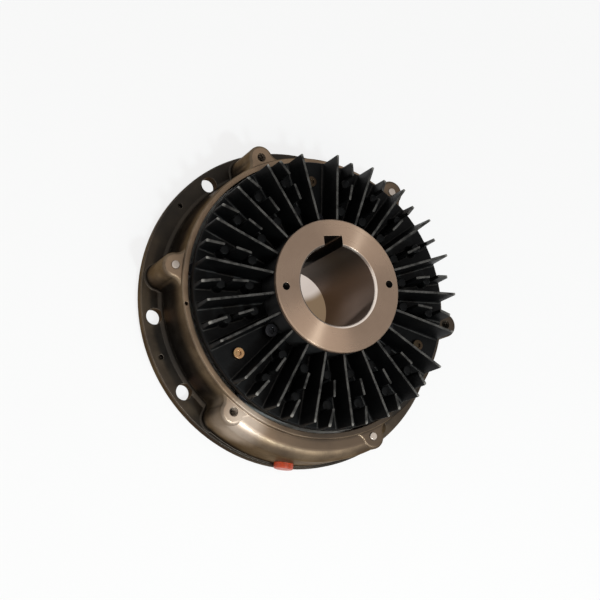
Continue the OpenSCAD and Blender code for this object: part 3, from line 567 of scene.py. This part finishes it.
def spring_steel():
    """Drawn wire."""
    base = finishes().spring
    return worked_steel("spring_steel", base, darker(base, 0.75), 0.25, 0.36)


def black_steel():
    """Blackened screws and rings."""
    base = finishes().black_oxide
    return worked_steel("black_steel", base, darker(base, 0.6), 0.32, 0.46, 0.25)


def brass():
    """Brass of the cages and the facing screws."""
    base = finishes().brass
    return worked_steel("brass", base, darker(base, 0.75), 0.24, 0.38)


def cast_aluminium():
    """Coarse grey casting of the piston."""
    base = finishes().aluminium
    return worked_steel("cast_aluminium", base, darker(base, 0.8), 0.40, 0.54, 0.3, 900.0)


def plated_screw():
    """Yellow plating: a warm base with a faint green and rose play of colour, darker on every screw but the
    one that is lowest at rest."""
    f = Finish("plated_screw")
    green, rose = (0.22, 0.19, 0.08), (0.33, 0.17, 0.09)
    light_edge, dim_tone = (0.55, 0.44, 0.28), (0.02, 0.016, 0.012)
    play = f.noise(260.0, 3.0, 0.6)
    skin = f.mix(f.band(play, 0.3, 0.5), green, finishes().plated)
    skin = f.mix(f.band(play, 0.55, 0.75), skin, rose)
    skin = f.mix(f.times(f.edges(0.4 * MM), 0.4), skin, light_edge)
    # Darker on every screw but the lowest one at rest
    skin = f.mix(f.band(f.axes()["Y"], -50 * MM, -40 * MM, 0.15, 0.93), skin, dim_tone)
    normal = f.bump(f.noise(1800.0, 2.0), 0.2, 0.03 * MM, f.rounded(0.3 * MM))
    f.set(Base_Color=skin, Roughness=f.band(play, 0.3, 0.7, 0.24, 0.36), Metallic=1.0, Normal=normal)
    return f.material


def friction_material():
    """Moulded friction material: brown ground with pale and brass-like flecks and a rough pressed face."""
    f = Finish("friction_material")
    base = finishes().friction
    fleck_colour = (0.33, 0.27, 0.17)
    fleck = f.cells(900.0)
    skin = f.mix(f.band(f.noise(300.0, 4.0), 0.35, 0.7), base, darker(base, 0.55))
    skin = f.mix(f.band(fleck, 0.0, 0.22, 0.7, 0.0), skin, fleck_colour)
    normal = f.bump(f.noise(1400.0, 4.0, 0.7), 0.5, 0.12 * MM)
    f.set(Base_Color=skin, Roughness=f.band(fleck, 0.0, 0.4, 0.62, 0.85), Normal=normal)
    return f.material


def seal_rubber():
    """Black rubber with a dull bloom."""
    f = Finish("seal_rubber")
    bloom_colour = (0.03, 0.03, 0.032)
    bloom = f.noise(200.0, 4.0, 0.6)
    skin = f.mix(f.band(bloom, 0.4, 0.7, 0.0, 0.6), finishes().rubber, bloom_colour)
    normal = f.bump(f.noise(1500.0, 2.0), 0.2, 0.03 * MM)
    f.set(Base_Color=skin, Roughness=f.band(bloom, 0.3, 0.7, 0.42, 0.6), Normal=normal)
    return f.material


def red_plastic():
    """Moulded soft plastic: slightly uneven red that lets a little light in, with a satin skin."""
    f = Finish("red_plastic")
    base = finishes().plug
    cloud = f.noise(240.0, 3.0, 0.5)
    skin = f.mix(f.band(cloud, 0.35, 0.7), base, darker(base, 0.82))
    normal = f.bump(f.noise(1300.0, 2.0), 0.15, 0.03 * MM)
    f.set(Base_Color=skin, Roughness=f.band(cloud, 0.3, 0.7, 0.30, 0.42), Subsurface_Weight=0.08,
          Subsurface_Radius=(1.0, 0.2, 0.1), Subsurface_Scale=2 * MM, Normal=normal)
    return f.material


MAKERS = {maker.__name__: maker for maker in (
    housing_casting, black_casting, machined_hub, ground_steel, turned_steel, bearing_steel, spring_steel,
    black_steel, plated_screw, brass, cast_aluminium, friction_material, seal_rubber, red_plastic)}


def finish(name):
    """The named finish, made the first time that it is asked for."""
    return bpy.data.materials.get(name + "_finish") or MAKERS[name]()


def wear(names, finish_name):
    """Gives CAD nodes a finish."""
    for name in names:
        materials = NODES[name].data.materials
        materials.clear()
        materials.append(finish(finish_name))


# Mesh building


def link_piece(name, mesh, finish_name, body):
    """Puts a mesh in the scene as a piece that rides on a body and takes a finish."""
    mesh.materials.clear()
    mesh.materials.append(finish(finish_name))
    piece = bpy.data.objects.new(name, mesh)
    bpy.context.scene.collection.objects.link(piece)
    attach(piece, body)
    return piece


def mesh_piece(name, parts, finish_name, body):
    """A smooth piece from several shapes, each its points in metres and one or more arrays of faces."""
    points, faces, count = [], [], 0
    for part_points, *part_faces in parts:
        points.append(part_points)
        for some_faces in part_faces:
            faces += (some_faces + count).tolist()
        count += len(part_points)
    mesh = bpy.data.meshes.new(name)
    mesh.from_pydata(np.concatenate(points).tolist(), [], faces)
    mesh.polygons.foreach_set("use_smooth", np.full(len(mesh.polygons), True))
    mesh.validate()
    mesh.update()
    return link_piece(name, mesh, finish_name, body)


def grid_faces(rows, columns, close_rows=False, close_columns=False):
    """Four-cornered faces of a grid of points, numbered row by row; a closed direction joins its end to its
    start."""
    row = np.arange(rows if close_rows else rows - 1)
    column = np.arange(columns if close_columns else columns - 1)
    r, c = np.meshgrid(row, column, indexing="ij")
    next_r, next_c = (r + 1) % rows, (c + 1) % columns
    corners = r * columns + c, next_r * columns + c, next_r * columns + next_c, r * columns + next_c
    return np.stack(corners, axis=-1).reshape(-1, 4)


def plain_copy(node, name, finish_name, body):
    """A copy of a CAD node's mesh that stands in for the node, with its points merged and its flat faces
    joined. Level faces are shaded flat, and the rest smooth between its sharp edges."""
    shape = bmesh.new()
    shape.from_mesh(NODES[node].data)
    bmesh.ops.remove_doubles(shape, verts=shape.verts, dist=0.001 * MM)
    bmesh.ops.dissolve_limit(shape, angle_limit=math.radians(0.4), verts=shape.verts, edges=shape.edges)
    mesh = bpy.data.meshes.new(name)
    shape.to_mesh(mesh)
    shape.free()
    imported = mesh.attributes.get("custom_normal")
    if imported:
        mesh.attributes.remove(imported)
    normals = np.empty(len(mesh.polygons) * 3)
    mesh.polygons.foreach_get("normal", normals)
    mesh.polygons.foreach_set("use_smooth", np.abs(normals.reshape(-1, 3)[:, 2]) < 0.999)
    mesh.update()
    mesh.set_sharp_from_angle(angle=math.radians(30))
    piece = link_piece(name, mesh, finish_name, body)
    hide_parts(node)
    return piece


def chamfer(piece, width, chosen):
    """Bevels the sharp edges between points that the test picks out."""
    mesh = piece.data
    points = np.empty(len(mesh.vertices) * 3)
    mesh.vertices.foreach_get("co", points)
    ends = np.empty(len(mesh.edges) * 2, dtype=int)
    mesh.edges.foreach_get("vertices", ends)
    sharp = np.empty(len(mesh.edges), dtype=bool)
    mesh.attributes["sharp_edge"].data.foreach_get("value", sharp)
    picked = chosen(points.reshape(-1, 3))[ends.reshape(-1, 2)].all(axis=1)
    weight = mesh.attributes.new("bevel_weight_edge", "FLOAT", "EDGE")
    weight.data.foreach_set("value", (picked & sharp).astype(float))
    bevel = piece.modifiers.new("chamfer", "BEVEL")
    bevel.limit_method = "WEIGHT"
    bevel.width = width
    bevel.segments = 2


def turned_about_z(points, angle):
    """Points turned by an angle about the shaft axis."""
    c, s = math.cos(angle), math.sin(angle)
    return points @ np.array([[c, s, 0], [-s, c, 0], [0, 0, 1]])


def revolved(outline, steps, closed=True):
    """An outline of (radius, height) carried round the Z axis. An outline that runs counter-clockwise, seen
    with the radius to the right and the height up, gives faces that point outwards. One that isn't closed
    starts and ends on the axis."""
    angle = np.linspace(0, 2 * math.pi, steps, endpoint=False)[:, None]
    radius, height = outline[:, 0], np.broadcast_to(outline[:, 1], (steps, len(outline)))
    points = np.stack([radius * np.cos(angle), radius * np.sin(angle), height], axis=-1).reshape(-1, 3)
    return points, grid_faces(steps, len(outline), True, closed)


def corner(centre, radius, start, end, count):
    """Points on an arc about centre, from one angle in degrees to another."""
    angle = np.radians(np.linspace(start, end, count))
    return np.stack([centre[0] + radius * np.cos(angle), centre[1] + radius * np.sin(angle)], axis=-1)


# The finned rotor

FIN_HEIGHT = 23.0 * MM
FIN_SINK = 0.8 * MM
INNER_FIN_AT, INNER_FIN_LENGTH = 72.5 * MM, 13.0 * MM
OUTER_FIN_LENGTH, OUTER_FIN_INSET = 13.2 * MM, 0.3 * MM
OUTER_FIN_DROPS = 1.5 * MM, 8.0 * MM
PAD_RADIUS, PAD_TOP = 3.8 * MM, 10.0 * MM
INNER_PAD_AT, OUTER_PAD_GAP = 66.5 * MM, 4.2 * MM


def fin_shape(start, length, top_start, top_end, lean, wave_start=0.0):
    """One cast fin along +X from start, its root at height 0. Its half width at height h is the drafted line
    from root to top, plus a quarter-circle fillet at the foot, less a quarter circle at the top edge. Both
    ends close in a rounded nose: at distance d from an end the width and the top shrink as a circle of the
    nose's radius. The middle strays sideways by lean and a slow wave, more towards the top. The third array
    rises from 0 to 1 over the rounded top edge, and is 0 below it."""
    s = sizes()
    nose, fillet, rounding = s.fin_nose, s.fin_fillet, s.fin_round
    arc = np.radians(np.linspace(0, 90, 6))
    nose_steps = nose * (1 - np.sin(np.radians(np.linspace(90, 0, 5))))
    x = np.concatenate([nose_steps, np.linspace(nose, length - nose, 9)[1:-1], length - nose_steps[::-1]])
    from_end = np.clip(np.minimum(x, length - x) / nose, 0, 1)
    close = np.sqrt(1 - (1 - from_end) ** 2)
    top = (top_start + (top_end - top_start) * x / length - rounding * (1 - close))[:, None]

    foot = np.concatenate([[-FIN_SINK], fillet * (1 - np.cos(arc))])
    foot_rows = np.broadcast_to(foot, (len(x), len(foot)))
    h = np.concatenate([foot_rows, top - rounding + rounding * np.sin(arc)], axis=1)
    drafted = (s.fin_root + (s.fin_top - s.fin_root) * h / FIN_HEIGHT) / 2
    flare = fillet - np.sqrt(fillet ** 2 - (fillet - np.clip(h, 0, fillet)) ** 2)
    over = np.clip(h - (top - rounding), 0, rounding)
    half_width = drafted + flare - (rounding - np.sqrt(rounding ** 2 - over ** 2))
    half_width = np.maximum(half_width, 1e-6) * np.maximum(close, 0.02)[:, None]

    wave = 0.35 * lean * np.sin(x / length * 5.1 + wave_start)
    middle = (lean + wave[:, None]) * (np.clip(h, 0, None) / FIN_HEIGHT) ** 1.5
    along = np.broadcast_to((x + start)[:, None], h.shape)
    right = np.stack([along, middle - half_width, h], axis=-1)
    left = np.stack([along, middle + half_width, h], axis=-1)
    loops = np.concatenate([right, left[:, ::-1]], axis=1)
    around = loops.shape[1]
    sides = grid_faces(len(x), around, False, True)[:, ::-1]
    low = np.arange(around // 2 - 1)
    high = around - 1 - low
    cap = np.stack([low, low + 1, high - 1, high], axis=-1)
    faces = np.concatenate([sides, cap, cap[:, ::-1] + (len(x) - 1) * around])
    rising = np.concatenate([np.zeros(len(foot)), np.linspace(0, 1, len(arc))])
    crown = np.tile(np.concatenate([rising, rising[::-1]]), len(x))
    return loops.reshape(-1, 3), faces, crown


def rotor_plate_shape(outer, inner, low, high):
    """The rotor's plate: the outline of a ring with rounded edges, revolved."""
    big, small = 1.3 * MM, 0.5 * MM
    steps_per_bay = 12
    outline = np.concatenate([
        corner((inner + small, low + small), small, 180, 270, 4),
        corner((outer - big, low + big), big, -90, 0, 6),
        corner((outer - big, high - big), big, 0, 90, 6),
        corner((inner + small, high - small), small, 90, 180, 4),
    ])
    return revolved(outline, steps_per_bay * LONG_FINS)


def pad_shape(at, radius, top):
    """A round pad: an outline with a drafted side, a foot fillet and a rounded top, revolved."""
    fillet, rounding, draft, sink = 1.4 * MM, 0.9 * MM, 0.35 * MM, 0.5 * MM
    foot = radius + draft + fillet
    outline = np.concatenate([
        [[0.0, -sink], [foot, -sink]],
        corner((foot, fillet), fillet, 270, 180, 6),
        corner((radius - rounding, top - rounding), rounding, 0, 90, 6),
        [[0.0, top]],
    ])
    points, faces = revolved(outline, 32, closed=False)
    return points + [at, 0, 0], faces, np.zeros(len(points))


class BRAKE_OT_rotor(bpy.types.Operator):
    """Make the cast cooling rotor with its long fins, split short fins and pads"""

    bl_idname = "brake.rotor"
    bl_label = "Finned rotor"

    def execute(self, context):
        low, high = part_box("finned_rotor")
        edge, plate_top = high.x, low.z + PLATE_THICKNESS
        fin_top = high.z - plate_top
        points, faces = rotor_plate_shape(edge, PLATE_BORE, low.z, plate_top)
        parts, crowns = [(points, faces)], [np.zeros(len(points))]

        def stand(shape, angle):
            """Stands a shape on the plate at an angle from the keyway."""
            points, faces, crown = shape
            parts.append((turned_about_z(points + [0, 0, plate_top], angle + sizes().rotor_angle), faces))
            crowns.append(crown)

        draw = np.random.default_rng(11)
        uneven = sizes().fin_unevenness
        uneven_top = 0.4 * uneven
        long_start = PLATE_BORE + 0.3 * MM
        long_length = edge - 0.3 * MM - long_start
        outer_start = edge - OUTER_FIN_INSET - OUTER_FIN_LENGTH
        first_drop, last_drop = OUTER_FIN_DROPS
        for i in range(LONG_FINS):
            lean, wave_start = draw.normal(0, uneven), draw.uniform(0, 6)
            dip = abs(draw.normal(0, uneven_top))
            long_fin = fin_shape(long_start, long_length, fin_top, fin_top - dip, lean, wave_start)
            stand(long_fin, (i + 0.5) * BAY)
            if i in SCREW_BAYS:
                continue
            inner = fin_shape(INNER_FIN_AT, INNER_FIN_LENGTH, fin_top, fin_top, draw.normal(0, uneven))
            outer = fin_shape(outer_start, OUTER_FIN_LENGTH, fin_top - first_drop, fin_top - last_drop,
                              draw.normal(0, uneven))
            stand(inner, i * BAY)
            stand(outer, i * BAY)
            for at in (INNER_PAD_AT, outer_start - OUTER_PAD_GAP):
                stand(pad_shape(at, PAD_RADIUS, PAD_TOP), i * BAY)
        piece = mesh_piece("cast_finned_rotor", parts, "black_casting", "rotor")
        worn = piece.data.attributes.new("crown", "FLOAT", "POINT")
        worn.data.foreach_set("value", np.concatenate(crowns))
        piece.data.set_sharp_from_angle(angle=math.radians(50))
        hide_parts("finned_rotor")
        return {"FINISHED"}


# The rest of the brake


class BRAKE_OT_housing(bpy.types.Operator):
    """Finish the housing casting, its dowels and its port plug"""

    bl_idname = "brake.housing"
    bl_label = "Housing, dowels and plug"

    def execute(self, context):
        wear(["brake_housing"], "housing_casting")
        wear(["lobe_dowels"], "turned_steel")
        wear(["air_port_plug"], "red_plastic")
        return {"FINISHED"}


class BRAKE_OT_hub(bpy.types.Operator):
    """Finish the hub, its retaining ring, the wear plate and the spacer between the inner rings"""

    bl_idname = "brake.hub"
    bl_label = "Hub and wear plate"

    def execute(self, context):
        piece = plain_copy("hub", "turned_hub", "machined_hub", "rotor")
        front = top_of("hub")

        def at_bore(points):
            """Picks the points where the bore meets the front face."""
            on_front = np.abs(points[:, 2] - front) < 0.01 * MM
            return on_front & (np.hypot(points[:, 0], points[:, 1]) < BORE_RADIUS + 1 * MM)

        chamfer(piece, sizes().bore_chamfer, at_bore)
        wear(["hub_retaining_ring"], "black_steel")
        wear(["wear_plate", "inner_spacer"], "ground_steel")
        return {"FINISHED"}


class BRAKE_OT_screws(bpy.types.Operator):
    """Finish the rotor's two kinds of screws"""

    bl_idname = "brake.screws"
    bl_label = "Rotor screws"

    def execute(self, context):
        wear(["wear_plate_screws"], "plated_screw")
        wear(["hub_screws"], "black_steel")
        return {"FINISHED"}


class BRAKE_OT_bearings(bpy.types.Operator):
    """Finish both bearings, their outer spacer and the ring that holds them"""

    bl_idname = "brake.bearings"
    bl_label = "Bearings"

    def execute(self, context):
        ends = ("rear", "front")
        wear([f"{end}_bearing_{ring}_ring" for end in ends for ring in ("outer", "inner")], "bearing_steel")
        wear([f"{end}_bearing_balls" for end in ends], "bearing_steel")
        wear([f"{end}_bearing_cage" for end in ends], "brass")
        wear(["outer_spacer"], "ground_steel")
        wear(["housing_retaining_ring"], "black_steel")
        return {"FINISHED"}


class BRAKE_OT_piston(bpy.types.Operator):
    """Finish the piston, its seals and the friction parts that it carries"""

    bl_idname = "brake.piston"
    bl_label = "Piston and facings"

    def execute(self, context):
        wear(["piston"], "cast_aluminium")
        wear(["piston_outer_seal", "piston_inner_seal"], "seal_rubber")
        wear(["pressure_plate"], "ground_steel")
        wear(["friction_facings"], "friction_material")
        wear(["facing_screws"], "brass")
        return {"FINISHED"}


def coil_shape(radius, wire, low, high, turns):
    """A compression spring: a round wire along a helix that climbs half the wire's width in its first and
    last turn, so that both ends close, and evenly in between. A fan closes the wire at each end."""
    closed_turns, rings_per_turn, sides = 0.9, 36, 10
    rings = int(turns * rings_per_turn) + 1
    turn = np.linspace(0, 1, rings) * turns
    closing = np.clip(turn / closed_turns, 0, 1) + np.clip((turn - turns + closed_turns) / closed_turns, 0, 1)
    climbed = np.clip((turn - closed_turns) / (turns - 2 * closed_turns), 0, 1)
    z = low + wire / 2 + wire / 2 * closing + (high - low - 2 * wire) * climbed
    angle = 2 * math.pi * turn
    outward = np.stack([np.cos(angle), np.sin(angle), np.zeros(rings)], axis=-1)
    upward = np.array([0, 0, 1.0])
    centre = radius * outward + z[:, None] * upward
    section = np.linspace(0, 2 * math.pi, sides, endpoint=False)[None, :, None]
    tube = centre[:, None] + wire / 2 * (np.cos(section) * outward[:, None] + np.sin(section) * upward)
    points = np.concatenate([tube.reshape(-1, 3), centre[[0, -1]]])

    start_middle, end_middle, last_ring = rings * sides, rings * sides + 1, (rings - 1) * sides
    ring = np.arange(sides)
    next_in_ring = (ring + 1) % sides
    start_fan = np.stack([np.full(sides, start_middle), ring, next_in_ring], axis=-1)
    end_fan = np.stack([np.full(sides, end_middle), last_ring + next_in_ring, last_ring + ring], axis=-1)
    return points, grid_faces(rings, sides, False, True), start_fan, end_fan


class BRAKE_OT_springs(bpy.types.Operator):
    """Wind the release springs and finish the screws that hold them"""

    bl_idname = "brake.springs"
    bl_label = "Release springs"

    def execute(self, context):
        wear(["spring_screws"], "black_steel")
        spring_count, coil_radius = 6, 3.9 * MM
        points, *faces = coil_shape(
            coil_radius, sizes().spring_wire, SPRING_LOW, SPRING_HIGH, sizes().spring_turns)
        at = points + [SPRING_AT, 0, 0]
        parts = [(turned_about_z(at, i * 2 * math.pi / spring_count), *faces) for i in range(spring_count)]
        piece = mesh_piece("release_coils", parts, "spring_steel", "housing")
        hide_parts("release_springs")
        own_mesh(piece)
        return {"FINISHED"}


def thread_shape(radius, pitch, depth, low, high):
    """The ridge of an inside thread: a blunt triangle that points to the hole's axis, carried along a helix
    from low to high, and fading in and out over its first and last half turn."""
    turns = (high - low) / pitch
    rings_per_turn = 28
    share = np.linspace(0, 1, int(turns * rings_per_turn))
    angle = (2 * math.pi * turns * share)[:, None]
    fade = np.clip(np.minimum(share, 1 - share) * turns * 2, 0.02, 1)[:, None]
    inward, upward = np.array([[0.08, -0.46], [-1.0, -0.07], [-1.0, 0.07], [0.08, 0.46]]).T
    reach = radius + depth * inward * fade
    height = (low + (high - low) * share)[:, None] + pitch * upward * fade
    points = np.stack([reach * np.cos(angle), reach * np.sin(angle), height], axis=-1)
    return points.reshape(-1, 3), grid_faces(len(share), 4, False, True)


class BRAKE_OT_threads(bpy.types.Operator):
    """Cut the look of a thread into the open lobes and the hub's two tapped holes"""

    bl_idname = "brake.threads"
    bl_label = "Threads"

    def execute(self, context):
        s = sizes()
        lobe_face, hub_face = top_of("lobe_dowels") - DOWEL_PROUD, top_of("hub")
        below_face, lobe_depth, hub_depth = 0.6 * MM, 19.0 * MM, 15.0 * MM
        lobe = thread_shape(LOBE_HOLE_RADIUS, s.lobe_thread_pitch, 0.45 * MM, lobe_face - lobe_depth,
                            lobe_face - below_face)
        hub = thread_shape(TAPPED_HOLE_RADIUS, s.hub_thread_pitch, 0.4 * MM, hub_face - hub_depth,
                           hub_face - below_face)
        beside_keyway = [math.radians(degrees) + s.rotor_angle for degrees in (90, 270)]
        for name, (points, faces), at, angles, finish_name, body in (
                ("lobe_hole_threads", lobe, LOBE_AT, np.radians(OPEN_LOBES), "housing_casting", "housing"),
                ("hub_hole_threads", hub, TAPPED_HOLE_AT, beside_keyway, "machined_hub", "rotor")):
            parts = [(turned_about_z(points + [at, 0, 0], angle), faces) for angle in angles]
            mesh_piece(name, parts, finish_name, body)
        return {"FINISHED"}


# The stage


def add_camera(settings):
    """The camera, turned by the directions that are right and up in its picture."""
    data = bpy.data.cameras.new("camera")
    data.lens, data.sensor_width = settings.lens, 36.0
    data.clip_start, data.clip_end = 0.01, 50.0
    camera = bpy.data.objects.new("camera", data)
    right, up = Vector(settings.camera_right).normalized(), Vector(settings.camera_up).normalized()
    back = right.cross(up).normalized()
    turn = Matrix((right, back.cross(right), back)).transposed().to_4x4()
    camera.matrix_world = Matrix.Translation(settings.camera_at) @ turn
    bpy.context.scene.collection.objects.link(camera)
    bpy.context.scene.camera = camera


def lamp(name, power, size, place, aim, tint):
    """A square area lamp at a place, aimed at a point."""
    data = bpy.data.lights.new(name, "AREA")
    data.energy, data.size, data.color = power, size, tint
    data.shape = "SQUARE"
    item = bpy.data.objects.new(name, data)
    turn = (Vector(place) - Vector(aim)).to_track_quat("Z", "Y").to_matrix().to_4x4()
    item.matrix_world = Matrix.Translation(place) @ turn
    bpy.context.scene.collection.objects.link(item)


def floor_finish(settings):
    """Pale matt floor that fades into plain white away from the brake. It is shaded inside the bore, and
    clear from below, so that the mounting face can be looked at."""
    f = Finish("pale_floor")
    unshaded, bore_light, bore_dark = (1.0, 1.0, 1.0), (0.70, 0.61, 0.55), (0.26, 0.18, 0.11)
    reach = f.from_axis()
    shade = f.mix(f.near((0.0, 42 * MM, 0.0), 37 * MM, 29 * MM), bore_dark, bore_light)
    shade = f.mix(f.band(reach, 48 * MM, 38 * MM), unshaded, shade)
    tone = f.mix(f.band(f.noise(3.0, 3.0), 0.35, 0.65, 0.0, 0.03), settings.floor_colour, (0.9, 0.9, 0.9))
    f.set(Base_Color=f.mix(1.0, tone, shade, "MULTIPLY"), Roughness=0.9, Specular_IOR_Level=0.1)
    white = f.times(f.backdrop_rays(), f.band(reach, 0.2, 1.2, settings.floor_white, 1.0))
    plain = f.add("ShaderNodeEmission", {"Color": shade, "Strength": 1.0})
    lit = f.add("ShaderNodeMixShader", {0: white, 1: f.shader.outputs[0], 2: plain.outputs[0]})
    clear = f.nodes.new("ShaderNodeBsdfTransparent")
    from_below = f.nodes.new("ShaderNodeNewGeometry").outputs["Backfacing"]
    sides = f.add("ShaderNodeMixShader", {0: from_below, 1: lit.outputs[0], 2: clear.outputs[0]})
    f.links.new(sides.outputs[0], f.output.inputs["Surface"])
    return f.material


def add_floor(settings):
    """The floor, a hair below the mounting face."""
    half, gap = settings.floor_size / 2, 0.2 * MM
    corners = [(-half, -half, -gap), (half, -half, -gap), (half, half, -gap), (-half, half, -gap)]
    mesh = bpy.data.meshes.new("floor")
    mesh.from_pydata(corners, [], [(0, 1, 2, 3)])
    mesh.materials.append(floor_finish(settings))
    floor = bpy.data.objects.new("floor", mesh)
    bpy.context.scene.collection.objects.link(floor)


def light_room(settings):
    """World light: warm, low and strongest from the left, but plain white for rays that show the backdrop."""
    world = bpy.data.worlds.new("room")
    bpy.context.scene.world = world
    world.use_nodes = True
    room = Graph(world.node_tree)
    direction = room.nodes.new("ShaderNodeTexCoord").outputs["Generated"]
    axes = room.add("ShaderNodeSeparateXYZ", {0: direction}).outputs
    low = room.band(axes["Z"], 0.15, 0.8, 1.0, 0.0)
    left = room.add("ShaderNodeMapRange", {
        "Value": axes["X"], "From Min": -0.9, "From Max": 0.3,
        "To Min": settings.walls, "To Max": 0.4 * settings.walls}).outputs["Result"]
    strength = room.math("ADD", room.times(low, left), settings.sky)
    soft = room.add("ShaderNodeBackground", {"Color": (1.0, 0.98, 0.95, 1.0), "Strength": strength})
    white = room.add("ShaderNodeBackground", {"Color": (1.0, 1.0, 1.0, 1.0), "Strength": 1.0})
    backdrop = room.backdrop_rays()
    shown = room.add("ShaderNodeMixShader", {0: backdrop, 1: soft.outputs[0], 2: white.outputs[0]})
    output = room.nodes.new("ShaderNodeOutputWorld")
    room.links.new(shown.outputs[0], output.inputs["Surface"])


class BRAKE_OT_stage(bpy.types.Operator):
    """Set up the camera at the photograph's angle, the pale floor and the soft lamps"""

    bl_idname = "brake.stage"
    bl_label = "Stage"

    def execute(self, context):
        settings = stage_settings()
        overhead = (0.20, -0.53, 1.17)
        add_camera(settings)
        add_floor(settings)
        lamp("key_lamp", settings.key_power, 1.7, (-1.2, -1.1, 0.85), (0, 0, 0.04), (1.0, 0.95, 0.88))
        lamp("top_lamp", settings.top_power, 1.3, overhead, (0, 0, 0.05), (1.0, 0.96, 0.90))
        lamp("glint_lamp", settings.glint_power, 0.09, overhead, (0, 0, 0.05), (0.82, 0.95, 1.0))
        light_room(settings)
        bpy.context.scene.view_settings.view_transform = "Standard"
        return {"FINISHED"}


# The add-on

STEPS = (
    BRAKE_OT_stage, BRAKE_OT_housing, BRAKE_OT_bearings, BRAKE_OT_piston, BRAKE_OT_springs, BRAKE_OT_rotor,
    BRAKE_OT_hub, BRAKE_OT_screws, BRAKE_OT_threads,
)


class BRAKE_PT_panel(bpy.types.Panel):
    """Lists the steps that build the brake, with its sizes and finishes."""

    bl_idname = "BRAKE_PT_panel"
    bl_label = "Tension Control Brake"
    bl_space_type = "VIEW_3D"
    bl_region_type = "UI"
    bl_category = "Brake"

    def draw(self, context):
        for step in STEPS:
            self.layout.operator(step.bl_idname)
        for group in (sizes(), finishes(), stage_settings()):
            box = self.layout.box()
            for name in group.__annotations__:
                box.prop(group, name)


CLASSES = (BrakeSizes, BrakeFinishes, StageSettings, *STEPS, BRAKE_PT_panel)


def register():
    for item in CLASSES:
        bpy.utils.register_class(item)
    bpy.types.Scene.brake_sizes = bpy.props.PointerProperty(type=BrakeSizes)
    bpy.types.Scene.brake_finishes = bpy.props.PointerProperty(type=BrakeFinishes)
    bpy.types.Scene.brake_stage = bpy.props.PointerProperty(type=StageSettings)


def unregister():
    del bpy.types.Scene.brake_sizes
    del bpy.types.Scene.brake_finishes
    del bpy.types.Scene.brake_stage
    for item in reversed(CLASSES):
        bpy.utils.unregister_class(item)


def main():
    """Registers the add-on and runs its steps in order."""
    register()
    for step in STEPS:
        group, name = step.bl_idname.split(".")
        getattr(getattr(bpy.ops, group), name)()


if __name__ == "__main__":
    main()
